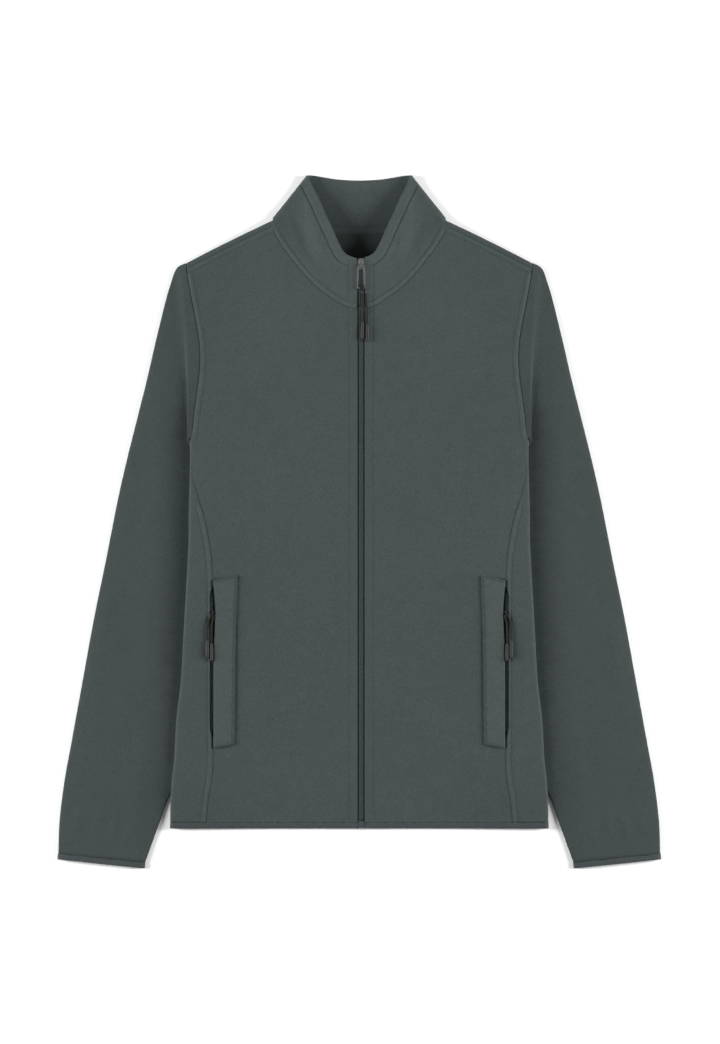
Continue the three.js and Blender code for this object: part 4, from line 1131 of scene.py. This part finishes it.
def body_tone(points):
    """Tone of the body's cloth, painted shade and highlight from the seams of the front layer or from
    those of the back one.
    """
    x, y, z = np.moveaxis(points, -1, 0)
    middle = (flat_back(x, y) + flat_front(x, y)) / 2
    return np.where(z > middle, front_relief.tone(x, y), back_relief.tone(x, y))


def sleeve_tone(points):
    """The sleeves' colour made darker all over, and on their top layer darker still by painted shade in
    the valley beside the body.
    """
    x, y, _ = np.moveaxis(points, -1, 0)
    columns = points.shape[1]
    on_top = np.arange(columns)[None, :] < columns / 2
    return np.where(on_top, sleeve_valley_shade.tone(x, y), 1.0) * SLEEVE_TONE


def collar_tone(points, at):
    # Painted shade and highlight from the collar's seams and stitching, made lighter on the inside of the
    # collar
    x, y, _ = np.moveaxis(points, -1, 0)
    outside = clamp01(COLLAR.read(np.abs(at), "rise"))
    return mix(collar_back_relief.tone(x, y) * COLLAR_INSIDE_TONE, collar_relief.tone(x, y), outside)


def add_tone(mesh, tone):
    """Keeps the tone at each point as a colour, for the fleece's material to read: painted shade and
    highlight along seams and stitching, and each piece's own tone.
    """
    colours = np.ones((tone.size, 4))
    colours[:, :3] = np.clip(tone, 0.3, 1.5).reshape(-1, 1) / 2
    layer = mesh.color_attributes.new("tone", "FLOAT_COLOR", "POINT")
    layer.data.foreach_set("color", colours.ravel())


def cloth(name, points, thickness, material, slot, nodes, ring=False, tone=None):
    """A thin shell with its middle on a grid of points."""
    rows, columns = points.shape[:2]
    faces = grid_faces(rows, columns, ring)
    piece = mesh_object(name, points.reshape(-1, 3), faces, material, GARMENT, slot)
    if tone is not None:
        add_tone(piece.data, tone)
    shell = piece.modifiers.new("thickness", "SOLIDIFY")
    shell.thickness = thickness
    shell.offset = 0.0
    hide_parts(*nodes)
    return piece


# A bead's outline by share of its length: its place along the bead and its radius
BEAD_RINGS = [(-0.5, 0.45), (-0.3, 1.0), (0.3, 1.0), (0.5, 0.45)]


def bead_template(sides):
    """Points of a small capsule of unit length and radius along X, and its faces."""
    points = []
    for x, radius in BEAD_RINGS:
        for i in range(sides):
            angle = 2 * math.pi * i / sides
            points.append((x, radius * math.cos(angle), radius * math.sin(angle)))
    faces = grid_faces(len(BEAD_RINGS), sides, True)
    faces.append(tuple(reversed(range(sides))))
    faces.append(tuple(range(len(points) - sides, len(points))))
    return np.array(points), faces


def beads(name, centres, ways, length, radius, material, slot, sides=6):
    """Many small capsules: stitches or zip teeth."""
    template, template_faces = bead_template(sides)
    points = []
    faces = []
    for centre, way in zip(centres, ways):
        along = np.array(way) / np.linalg.norm(way)
        across = np.cross((0.0, 0.0, 1.0), along)
        across /= np.linalg.norm(across)
        up = np.cross(along, across)
        start = len(points) * len(template)
        points.append(centre + template[:, :1] * length * along
                      + template[:, 1:2] * radius * across + template[:, 2:] * radius * up)
        faces.extend(tuple(corner + start for corner in face) for face in template_faces)
    mesh_object(name, np.concatenate(points), faces, material, GARMENT, slot)


def resample(path, pitch):
    """Points at an even pitch along a path, and the way it runs at each."""
    path = np.asarray(path)
    lengths = np.linalg.norm(np.diff(path, axis=0), axis=1)
    starts = np.concatenate([[0.0], np.cumsum(lengths)])
    at = np.arange(pitch / 2, starts[-1], pitch)
    centres = np.stack([np.interp(at, starts, path[:, k]) for k in range(3)], axis=1)
    ahead = np.stack([np.interp(at + pitch / 4, starts, path[:, k]) for k in range(3)], axis=1)
    behind = np.stack([np.interp(at - pitch / 4, starts, path[:, k]) for k in range(3)], axis=1)
    return centres, ahead - behind


# Stitching

STITCH_PITCH = 0.0032
STITCH_LENGTH = 0.0023
STITCH_RADIUS = 0.00030
STITCH_SUNK = 0.00006


def on_front(points, lift=SHELL / 2 - STITCH_SUNK):
    points = np.asarray(points)
    z = layer_height(points[:, 0], points[:, 1], 1) + lift
    return np.column_stack([points, z])


def on_back(points):
    points = np.asarray(points)
    z = layer_height(points[:, 0], points[:, 1], -1) - SHELL / 2 + STITCH_SUNK
    return np.column_stack([points, z])


def stitching(name, paths, material, slot="fleece"):
    runs = [resample(path, STITCH_PITCH) for path in paths]
    centres = np.concatenate([run[0] for run in runs])
    ways = np.concatenate([run[1] for run in runs])
    beads(name, centres, ways, STITCH_LENGTH, STITCH_RADIUS, material, slot)


def collar_row(side, height_share, start, end):
    return collar_points(side * np.linspace(start, end, 90), height_share)


def raised(points, lift):
    return points + np.array([0.0, 0.0, lift])


def front_stitching(thread):
    paths = []
    for side in (-1, 1):
        paths.append(on_front(offset(armhole_line(side), side * STITCH_APART)))
        paths.append(on_front(offset(shoulder_line(side), -side * STITCH_APART)))
        paths.append(on_front(zip_line(side)))
        paths.append(on_front(offset(side_seam_line(side, SIDE_STITCH_TOP), -side * STITCH_APART)))
    stitching("front_stitching", paths, thread)


def back_stitching(thread):
    paths = []
    for side in (-1, 1):
        for low, high in ((PANEL_LOW, BACK_STITCH_TOP), (BACK_ARM_LOW, ARM_TOP_Y - 0.012)):
            paths.append(on_back(offset(back_seam_line(side, low, high), side * STITCH_APART)))
    stitching("back_stitching", paths, thread)


def collar_stitching(thread):
    paths = []
    for side in (-1, 1):
        paths.append(raised(collar_row(side, STITCH_APART / COLLAR_HEIGHT, 0.50, 0.94), COLLAR_SHELL / 2))
        edge = collar_edge_line(side)
        edge = edge[edge[:, 1] < COLLAR_EDGE_STITCH_TOP]
        height = collar_front_height(edge[:, 0], edge[:, 1])
        paths.append(np.column_stack([edge, height + COLLAR_SHELL / 2]))
    inside = collar_points(np.linspace(-0.36, 0.36, 160), INSIDE_STITCH / COLLAR_HEIGHT)
    paths.append(raised(inside, COLLAR_SHELL / 2))
    stitching("collar_stitching", paths, thread)


def welt_stitching(thread):
    rise = CLOTH / 2 + PANEL_SEAM + WELT
    paths = [on_front(row, rise) for side in (-1, 1) for row in welt_lines(side)]
    stitching("pocket_stitching", paths, thread)


def binding_stitching(hem_points, cuffs, thread):
    middle = hem_points.shape[0] // 2
    paths = [raised(hem_points[middle], HEM_BINDING / 2)]
    for points in cuffs:
        top = points[points.shape[0] // 2][: points.shape[1] // 2]
        paths.append(raised(top[2:-2], CUFF_BINDING / 2))
    front = paths[0][:, 2] > HEM_FRONT_LEVEL
    runs = np.split(np.arange(len(front)), np.flatnonzero(np.diff(front.astype(int))) + 1)
    fronts = [paths[0][run] for run in runs if front[run[0]] and len(run) > 5]
    stitching("binding_stitching", fronts + paths[1:], thread, "binding")


# Zips: the strip that shows between the tapes, and the coil's teeth on it

ZIP_STRIP = {"width": 0.0064, "lift": -CHAIN_DROP - 0.0003, "thickness": 0.0010}
POCKET_STRIP = {"width": 0.0034, "lift": 0.0004, "thickness": 0.0008}
ZIP_TOOTH = {"spread": 0.00125, "lift": 0.0001, "length": 0.0024, "radius": 0.00055, "pitch": 0.0015}
POCKET_TOOTH = {"spread": 0.0009, "lift": 0.0008, "length": 0.0018, "radius": 0.00045, "pitch": 0.0014}
TOOTH_WAY = (1.0, 0.12, 0.0)


def zip_teeth(name, middle, low, high, height_at, tooth, material):
    """Two rows of teeth side by side, half a pitch apart."""
    pitch = tooth["pitch"]
    rows = []
    for i, x in enumerate((middle - tooth["spread"], middle + tooth["spread"])):
        ys = np.arange(low + pitch * (0.25 + 0.5 * i), high, pitch)
        z = height_at(np.full_like(ys, x), ys) + tooth["lift"]
        rows.append(np.column_stack([np.full_like(ys, x), ys, z]))
    centres = np.concatenate(rows)
    ways = [TOOTH_WAY] * len(centres)
    beads(name, centres, ways, tooth["length"], tooth["radius"], material, "zip_coil", sides=8)


def zip_strip(name, middle, low, high, height_at, strip, material, node):
    u, v = grid(np.linspace(0, 1, STRIP_ROWS), np.linspace(-0.5, 0.5, STRIP_COLUMNS))
    x = middle + strip["width"] * u
    y = mix(low, high, v)
    points = np.stack([x, y, height_at(np.full_like(x, middle), y) + strip["lift"]], axis=-1)
    cloth(name, points, strip["thickness"], material, "zip_tape", [node])


# Cords, knots and their rubber ends

CORD = 0.0022


def cord_piece(name, route, side, body, cord_material, tip_material):
    points = [Vector((side * x, y, z)) for x, y, z in route]
    curve = bpy.data.curves.new(f"{name}_strand", "CURVE")
    curve.dimensions = "3D"
    curve.bevel_depth = CORD / 2
    curve.bevel_resolution = 5
    curve.resolution_u = 10
    spline = curve.splines.new("BEZIER")
    spline.bezier_points.add(len(points) - 1)
    for knot, point in zip(spline.bezier_points, points):
        knot.co = point
        knot.handle_left_type = "AUTO"
        knot.handle_right_type = "AUTO"
    curve.use_fill_caps = True
    curve.materials.append(cord_material)
    strand = place(bpy.data.objects.new(f"{name}_strand", curve), body, "cord")
    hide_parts(f"{name}_cord")
    tip = tip_piece(name, points, body, tip_material)


# The rubber end's outline: distance from its start, and radius
TIP_PROFILE = [
    (0.0000, 0.00110), (0.0002, 0.00140), (0.0008, 0.00162), (0.0030, 0.00185), (0.0070, 0.00200),
    (0.0120, 0.00210), (0.0170, 0.00206), (0.0188, 0.00190), (0.0196, 0.00160), (0.0200, 0.00105),
]
TIP_SIDES = 24


def tip_piece(name, points, body, material):
    way = (points[-1] - points[-2]).normalized()
    across = way.cross(Vector((0, 0, 1))).normalized()
    up = across.cross(way)
    rings = []
    for distance, radius in TIP_PROFILE:
        centre = points[-1] + way * (distance + PANEL_SEAM)
        for i in range(TIP_SIDES):
            angle = 2 * math.pi * i / TIP_SIDES
            rings.append(centre + radius * (across * math.cos(angle) + up * math.sin(angle)))
    faces = grid_faces(len(TIP_PROFILE), TIP_SIDES, True)
    faces.append(tuple(range(TIP_SIDES)))
    faces.append(tuple(range(len(rings) - TIP_SIDES, len(rings))))
    tip = mesh_object(f"{name}_end", rings, faces, material, body, "cord_end")
    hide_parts(f"{name}_tip")
    return tip


# The pull tab's frame: its hinge, its slope, and the knot on its lower bar
HINGE = Vector((0.00195, 0.2792, 0.03683))
TAB_SLOPE = math.atan(0.2)
TAB_LENGTH = 0.025
KNOT_X = 0.0004
KNOT_Y = 0.00075 - TAB_LENGTH
KNOT_TURNS = (-0.00175, 0.0, 0.00175)
KNOT_HALF_LENGTH = 0.0024
KNOT_HALF_HEIGHT = 0.0013
KNOT_THREAD = 0.00095
KNOT_LEAN = 0.0005


def tab_point(x, y, z):
    rotated = Vector((x, y * math.cos(TAB_SLOPE) - z * math.sin(TAB_SLOPE),
                      y * math.sin(TAB_SLOPE) + z * math.cos(TAB_SLOPE)))
    return HINGE + rotated


def knot_piece(material):
    """Three turns of cord round the tab's lower bar."""
    around = 28
    sides = 10
    points = []
    faces = []
    for shift in KNOT_TURNS:
        start = len(points)
        for i in range(around):
            angle = 2 * math.pi * i / around
            for j in range(sides):
                tilt = 2 * math.pi * j / sides
                out = KNOT_THREAD * math.cos(tilt)
                y = KNOT_Y + (KNOT_HALF_LENGTH + out) * math.cos(angle)
                z = (KNOT_HALF_HEIGHT + out) * math.sin(angle)
                x = KNOT_X + shift + KNOT_LEAN * math.sin(angle) + KNOT_THREAD * math.sin(tilt)
                points.append(tab_point(x, y, z))
        for i in range(around):
            for j in range(sides):
                ahead = (i + 1) % around
                beside = (j + 1) % sides
                faces.append(tuple(start + a * sides + b
                                   for a, b in ((i, j), (ahead, j), (ahead, beside), (i, beside))))
    knot = mesh_object("zip_pull_turns", points, faces, material, PULL, "cord")
    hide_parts("zip_pull_knot")


def finish_hard_node(name, material, bevel):
    """A CAD node that keeps its shape: softened edges and its own material."""
    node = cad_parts[name]
    node.material_slots[0].link = "OBJECT"
    node.material_slots[0].material = material
    edge = node.modifiers.new("soft_edges", "BEVEL")
    edge.width = bevel
    edge.segments = 3
    edge.limit_method = "ANGLE"
    edge.angle_limit = math.radians(35)


# Materials: procedural, on the row frame's own coordinates in metres

class Finish:
    """A material with a Principled shader, and short names for the nodes that feed it."""

    def __init__(self, name, roughness, sheen=0.0, sheen_tint=(1, 1, 1), metallic=0.0, specular=0.3):
        self.material = bpy.data.materials.new(name)
        self.material.use_nodes = True
        self.tree = self.material.node_tree
        self.shader = self.tree.nodes["Principled BSDF"]
        self.set("Roughness", roughness)
        self.set("Metallic", metallic)
        self.set("Specular IOR Level", specular)
        self.set("Sheen Weight", sheen)
        self.set("Sheen Roughness", 0.45)
        self.set("Sheen Tint", (*sheen_tint, 1))
        self.place = self.tree.nodes.new("ShaderNodeTexCoord").outputs["Object"]

    def set(self, socket, value):
        self.shader.inputs[socket].default_value = value

    def link(self, output, socket):
        self.tree.links.new(output, socket)

    def stretched(self, scale):
        mapping = self.tree.nodes.new("ShaderNodeMapping")
        mapping.inputs["Scale"].default_value = scale
        self.link(self.place, mapping.inputs["Vector"])
        return mapping.outputs["Vector"]

    def noise(self, scale, detail=2.0, roughness=0.5):
        noise = self.tree.nodes.new("ShaderNodeTexNoise")
        noise.inputs["Scale"].default_value = 1.0
        noise.inputs["Detail"].default_value = detail
        noise.inputs["Roughness"].default_value = roughness
        self.link(self.stretched(scale), noise.inputs["Vector"])
        return noise.outputs["Fac"]

    def wave(self, scale, direction, distortion=0.0):
        wave = self.tree.nodes.new("ShaderNodeTexWave")
        wave.bands_direction = direction
        wave.inputs["Scale"].default_value = scale
        wave.inputs["Distortion"].default_value = distortion
        self.link(self.place, wave.inputs["Vector"])
        return wave.outputs["Fac"]

    def math(self, operation, a, b):
        node = self.tree.nodes.new("ShaderNodeMath")
        node.operation = operation
        for socket, value in zip(node.inputs, (a, b)):
            if isinstance(value, (int, float)):
                socket.default_value = value
            else:
                self.link(value, socket)
        return node.outputs[0]

    def ramp(self, factor, stops):
        ramp = self.tree.nodes.new("ShaderNodeValToRGB")
        elements = ramp.color_ramp.elements
        while len(elements) < len(stops):
            elements.new(0.5)
        for element, (position, colour) in zip(elements, stops):
            element.position = position
            element.color = (*colour, 1)
        self.link(factor, ramp.inputs["Fac"])
        return ramp.outputs["Color"]

    def tint(self, colour, factor, dark, light):
        """The colour made darker or lighter by a factor's low and high end."""
        return self.times(colour, self.ramp(factor, [(0.3, (dark,) * 3), (0.7, (light,) * 3)]))

    def times(self, colour, other):
        blend = self.tree.nodes.new("ShaderNodeMix")
        blend.data_type = "RGBA"
        blend.blend_type = "MULTIPLY"
        blend.inputs["Factor"].default_value = 1.0
        self.link(colour, blend.inputs["A"])
        self.link(other, blend.inputs["B"])
        return blend.outputs["Result"]

    def by_tone(self, colour):
        """The colour times the tone that the mesh keeps, painted shade and highlight included, which is
        stored halved.
        """
        kept = self.tree.nodes.new("ShaderNodeVertexColor")
        kept.layer_name = "tone"
        doubled = self.tree.nodes.new("ShaderNodeVectorMath")
        doubled.operation = "SCALE"
        doubled.inputs["Scale"].default_value = 2.0
        self.link(self.times(colour, kept.outputs["Color"]), doubled.inputs[0])
        return doubled.outputs["Vector"]

    def colour(self, output):
        self.link(output, self.shader.inputs["Base Color"])

    def bump(self, height, strength, distance):
        bump = self.tree.nodes.new("ShaderNodeBump")
        bump.inputs["Strength"].default_value = strength
        bump.inputs["Distance"].default_value = distance
        self.link(height, bump.inputs["Height"])
        self.link(bump.outputs["Normal"], self.shader.inputs["Normal"])


def linear(red, green, blue):
    """A colour read off the photo, 0 to 255 and not near black, as linear light."""
    return tuple(((c / 255 + 0.055) / 1.055) ** 2.4 for c in (red, green, blue))


def scaled(colour, share):
    return tuple(c * share for c in colour)


# Surface colours as the photo shows them, and the light that the cloth gives back of what falls on it
FLEECE_COLOUR = linear(76, 85, 84)
COLLAR_COLOUR = linear(78, 87, 86)
BINDING_COLOUR = linear(66, 74, 75)
TAPE_COLOUR = linear(70, 79, 80)
COIL_COLOUR = linear(66, 76, 78)
CORD_COLOUR = linear(37, 38, 33)
RUBBER_COLOUR = linear(46, 47, 46)
METAL_COLOUR = linear(196, 202, 200)
EXPOSURE = 0.57


def fleece(name, colour):
    """Brushed knit: a marl of dark and light fibres in short streaks, under a fine nap."""
    finish = Finish(name, roughness=0.95, sheen=0.12, sheen_tint=(0.75, 0.85, 0.84), specular=0.12)
    base = scaled(colour, EXPOSURE)
    across = finish.noise((420, 1500, 900), detail=3, roughness=0.65)
    upright = finish.noise((1500, 400, 900), detail=3, roughness=0.65)
    marl = finish.math("ADD", finish.math("MULTIPLY", across, 0.5), finish.math("MULTIPLY", upright, 0.5))
    tone = finish.ramp(marl, [
        (0.30, scaled(base, 0.70)), (0.46, scaled(base, 0.93)),
        (0.54, scaled(base, 1.06)), (0.70, scaled(base, 1.34)),
    ])
    tone = finish.tint(tone, finish.noise((85, 85, 85), detail=2), 0.97, 1.03)
    tone = finish.tint(tone, finish.noise((9, 12, 10), detail=2), 0.98, 1.02)
    finish.colour(finish.by_tone(tone))
    nap = finish.noise((1500, 1500, 1500), detail=2, roughness=0.7)
    tufts = finish.noise((420, 420, 420), detail=2, roughness=0.6)
    finish.bump(finish.math("ADD", nap, tufts), 0.3, 0.0004)
    return finish.material


def thread():
    """Sewing thread in the cloth's own colour."""
    finish = Finish("thread", roughness=0.6, specular=0.3)
    base = scaled(FLEECE_COLOUR, EXPOSURE)
    finish.colour(finish.ramp(finish.noise((800, 800, 800)), [(0.3, scaled(base, 0.8)), (0.7, base)]))
    finish.bump(finish.noise((3000, 3000, 3000)), 0.2, 0.0001)
    return finish.material


def binding():
    """Smooth elastic trim with fine ribs."""
    finish = Finish("binding", roughness=0.7, sheen=0.1, specular=0.25)
    base = scaled(BINDING_COLOUR, EXPOSURE)
    ribs = finish.wave(190, "X", 0.5)
    tone = finish.ramp(ribs, [(0.0, scaled(base, 0.9)), (1.0, scaled(base, 1.12))])
    tone = finish.tint(tone, finish.noise((500, 500, 500), detail=2), 0.86, 1.12)
    finish.colour(tone)
    finish.bump(finish.math("ADD", ribs, finish.noise((900, 900, 900))), 0.35, 0.0003)
    return finish.material


def woven(name, colour, threads):
    """Flat tape of crossing threads."""
    finish = Finish(name, roughness=0.75, specular=0.25)
    base = scaled(colour, EXPOSURE)
    weave = finish.math("MULTIPLY", finish.wave(threads, "X"), finish.wave(threads, "Y"))
    tone = finish.ramp(weave, [(0.0, scaled(base, 0.75)), (1.0, scaled(base, 1.25))])
    finish.colour(finish.tint(tone, finish.noise((400, 400, 400)), 0.9, 1.1))
    finish.bump(weave, 0.4, 0.0002)
    return finish.material


def coil():
    finish = Finish("zip_coil", roughness=0.42, specular=0.45)
    base = scaled(COIL_COLOUR, EXPOSURE)
    finish.colour(finish.ramp(finish.noise((700, 700, 700), detail=2), [
        (0.3, scaled(base, 0.85)), (0.7, scaled(base, 1.15)),
    ]))
    finish.bump(finish.noise((2500, 2500, 2500)), 0.15, 0.0001)
    return finish.material


def metal():
    finish = Finish("zip_metal", roughness=0.36, metallic=0.85, specular=0.5)
    base = scaled(METAL_COLOUR, EXPOSURE)
    wear = finish.noise((260, 260, 260), detail=4, roughness=0.7)
    finish.colour(finish.ramp(wear, [(0.35, scaled(base, 0.60)), (0.65, scaled(base, 1.0))]))
    finish.bump(finish.noise((1800, 1800, 1800), detail=2), 0.12, 0.0001)
    return finish.material


def braid():
    """Cord of crossing strands."""
    finish = Finish("cord", roughness=0.8, sheen=0.1, specular=0.2)
    base = scaled(CORD_COLOUR, EXPOSURE)
    strands = finish.math("MULTIPLY", finish.wave(260, "DIAGONAL", 1.0), finish.wave(230, "Y", 1.0))
    finish.colour(finish.ramp(strands, [(0.0, scaled(base, 0.6)), (1.0, scaled(base, 1.5))]))
    finish.bump(strands, 0.5, 0.0003)
    return finish.material


def rubber():
    finish = Finish("rubber", roughness=0.62, specular=0.25)
    base = scaled(RUBBER_COLOUR, EXPOSURE)
    finish.colour(finish.ramp(finish.noise((300, 300, 300), detail=3), [
        (0.3, scaled(base, 0.92)), (0.7, scaled(base, 1.08)),
    ]))
    finish.bump(finish.noise((1200, 1200, 1200), detail=2), 0.15, 0.0001)
    return finish.material


def pale_floor():
    finish = Finish("pale_floor", roughness=0.9, specular=0.1)
    shade = finish.noise((3, 3, 3))
    finish.colour(finish.ramp(shade, [(0.3, (0.93, 0.93, 0.93)), (0.7, (0.94, 0.94, 0.94))]))
    return finish.material


# Camera, floor and light

FLOOR_HALF = 4.0
FLOOR_DROP = 0.0003
LIGHT_ASIDE = 2.4
LIGHT_UP = 0.95
LIGHT_SIZE = (0.7, 2.6)
LIGHT_POWER = 138
WORLD_BRIGHTNESS = 0.22


def add_camera():
    camera = bpy.data.cameras.new("camera")
    camera.sensor_fit = "AUTO"
    camera.sensor_width = SENSOR
    camera.lens = SENSOR * CAMERA_HEIGHT / (PIXELS_DOWN * PIXEL)
    camera.clip_end = 50
    viewer = bpy.data.objects.new("camera", camera)
    viewer.location = (CAMERA_X, CAMERA_Y, CAMERA_HEIGHT)
    bpy.context.scene.collection.objects.link(viewer)
    bpy.context.scene.camera = viewer


def add_floor(material):
    corners = [(x * FLOOR_HALF, y * FLOOR_HALF, 0) for x, y in ((-1, -1), (1, -1), (1, 1), (-1, 1))]
    mesh = bpy.data.meshes.new("floor")
    mesh.from_pydata(corners, [], [(0, 1, 2, 3)])
    mesh.materials.append(material)
    floor = bpy.data.objects.new("floor", mesh)
    floor.location.z = -FLOOR_DROP
    bpy.context.scene.collection.objects.link(floor)


def add_softbox(name, side):
    light = bpy.data.lights.new(name, "AREA")
    light.shape = "RECTANGLE"
    light.size, light.size_y = LIGHT_SIZE
    light.energy = LIGHT_POWER
    lamp = bpy.data.objects.new(name, light)
    lamp.location = (side * LIGHT_ASIDE, 0.1, LIGHT_UP)
    lamp.rotation_euler = (-lamp.location).to_track_quat("-Z", "Y").to_euler()
    bpy.context.scene.collection.objects.link(lamp)


def add_world(brightness):
    world = bpy.data.worlds.new("studio")
    world.use_nodes = True
    background = world.node_tree.nodes["Background"]
    background.inputs["Color"].default_value = (1, 1, 1, 1)
    background.inputs["Strength"].default_value = brightness
    bpy.context.scene.world = world


# The scene

GARMENT = "garment"
PULL = "zip_pull"
HEM_WAVE = 0.0005
HEM_BULGE = 0.0003
HEM_LIFT_UNDER = 0.0003
HEM_SINK_TOP = 0.00012
HEM_FRONT_LEVEL = 0.0045
CUFF_DRIFT = 0.00055
CUFF_GAP = 0.0001
CUFF_WIDTH = 0.0060
SIDES = ((-1, "right"), (1, "left"))

add_camera()
bpy.context.scene.view_settings.view_transform = "Standard"

cord_finish = braid()
rubber_finish = rubber()
for name, route in (("zip_pull_a", ZIP_CORD_A), ("zip_pull_b", ZIP_CORD_B)):
    cord_piece(name, route, 1, PULL, cord_finish, rubber_finish)
for side, hand in SIDES:
    for strand, route in (("a", POCKET_CORD_A), ("b", POCKET_CORD_B)):
        cord_piece(f"pocket_{hand}_{strand}", route, side, GARMENT, cord_finish, rubber_finish)

thread_finish = thread()
body_fleece = fleece("fleece", FLEECE_COLOUR)
collar_fleece = fleece("collar_fleece", COLLAR_COLOUR)
binding_finish = binding()
tape_finish = woven("zip_tape", TAPE_COLOUR, 420)
coil_finish = coil()
metal_finish = metal()


def sheet(name, points, thickness, material, slot, nodes, ring=False, tone=None):
    piece = cloth(name, points, thickness, material, slot, nodes, ring, tone)
    return piece


hem_points = hem_binding_points()
hem_piece = cloth("hem_trim", hem_points, HEM_BINDING, binding_finish, "binding", ["hem_binding"])
cuff_points = {hand: cuff_binding_points(side) for side, hand in SIDES}
for hand, points in cuff_points.items():
    cloth(f"cuff_trim_{hand}", points, CUFF_BINDING, binding_finish, "binding",
                              [f"cuff_binding_{hand}"], ring=True)

back_points = back_panel_points()
sheet("back_cloth", back_points, SHELL, body_fleece, "fleece", ["back_panel"],
      tone=body_tone(back_points))
for side, hand in SIDES:
    front_points = front_panel_points(side)
    side_points = side_panel_points(side)
    arm_points = sleeve_points(side)
    flap_points = welt_points(side)
    flap_tone = welt_relief.tone(flap_points[..., 0], flap_points[..., 1])
    sheet(f"front_cloth_{hand}", front_points, SHELL, body_fleece, "fleece",
          [f"front_panel_{hand}"], tone=body_tone(front_points))
    sheet(f"side_cloth_{hand}", side_points, SHELL, body_fleece, "fleece",
          [f"side_panel_{hand}"], tone=body_tone(side_points))
    sheet(f"sleeve_cloth_{hand}", arm_points, SHELL, body_fleece, "fleece", [f"sleeve_{hand}"],
          ring=True, tone=sleeve_tone(arm_points))
    sheet(f"welt_cloth_{hand}", flap_points, WELT, body_fleece, "fleece",
          [f"pocket_welt_{hand}"], tone=flap_tone * WELT_TONE)
    sheet(f"zip_tape_cloth_{hand}", zip_tape_points(side), TAPE, tape_finish, "zip_tape",
          [f"zip_tape_{hand}"])
    sheet(f"pocket_tape_cloth_{hand}", pocket_tape_points(side), TAPE, tape_finish,
          "zip_tape", [f"pocket_zip_tape_{hand}"])
collar_stations, collar_shares = collar_grid()
collar_cloth_points = collar_points(collar_stations, collar_shares)
sheet("collar_cloth", collar_cloth_points, COLLAR_SHELL, collar_fleece, "fleece", ["collar"],
      tone=collar_tone(collar_cloth_points, collar_stations))

front_stitching(thread_finish)
back_stitching(thread_finish)
collar_stitching(thread_finish)
welt_stitching(thread_finish)
binding_stitching(hem_points, cuff_points.values(), thread_finish)

zip_strip("zip_strip", ZIP_X, ZIP_START, ZIP_TOP, top_height, ZIP_STRIP, tape_finish, "zip_chain")
zip_teeth("zip_teeth", ZIP_X, ZIP_START, ZIP_TOP, top_height, ZIP_TOOTH, coil_finish)


def pocket_height(x, y):
    return layer_height(x, y, 1) - CLOTH / 2


for side, hand in SIDES:
    low = POCKET_BOTTOM + POCKET_CHAIN_SHORT
    high = POCKET_TOP - POCKET_CHAIN_SHORT
    middle = side * POCKET_CHAIN_X
    zip_strip(f"pocket_strip_{hand}", middle, low, high, pocket_height, POCKET_STRIP, tape_finish,
              f"pocket_zip_chain_{hand}")
    zip_teeth(f"pocket_teeth_{hand}", middle, low, high, pocket_height, POCKET_TOOTH, coil_finish)

knot_piece(cord_finish)
finish_hard_node("zip_slider", metal_finish, 0.0004)
finish_hard_node("zip_pull_tab", metal_finish, 0.00035)
finish_hard_node("zip_bottom_box", coil_finish, 0.0006)

add_floor(pale_floor())
add_softbox("light_left", -1)
add_softbox("light_right", 1)
add_world(WORLD_BRIGHTNESS)
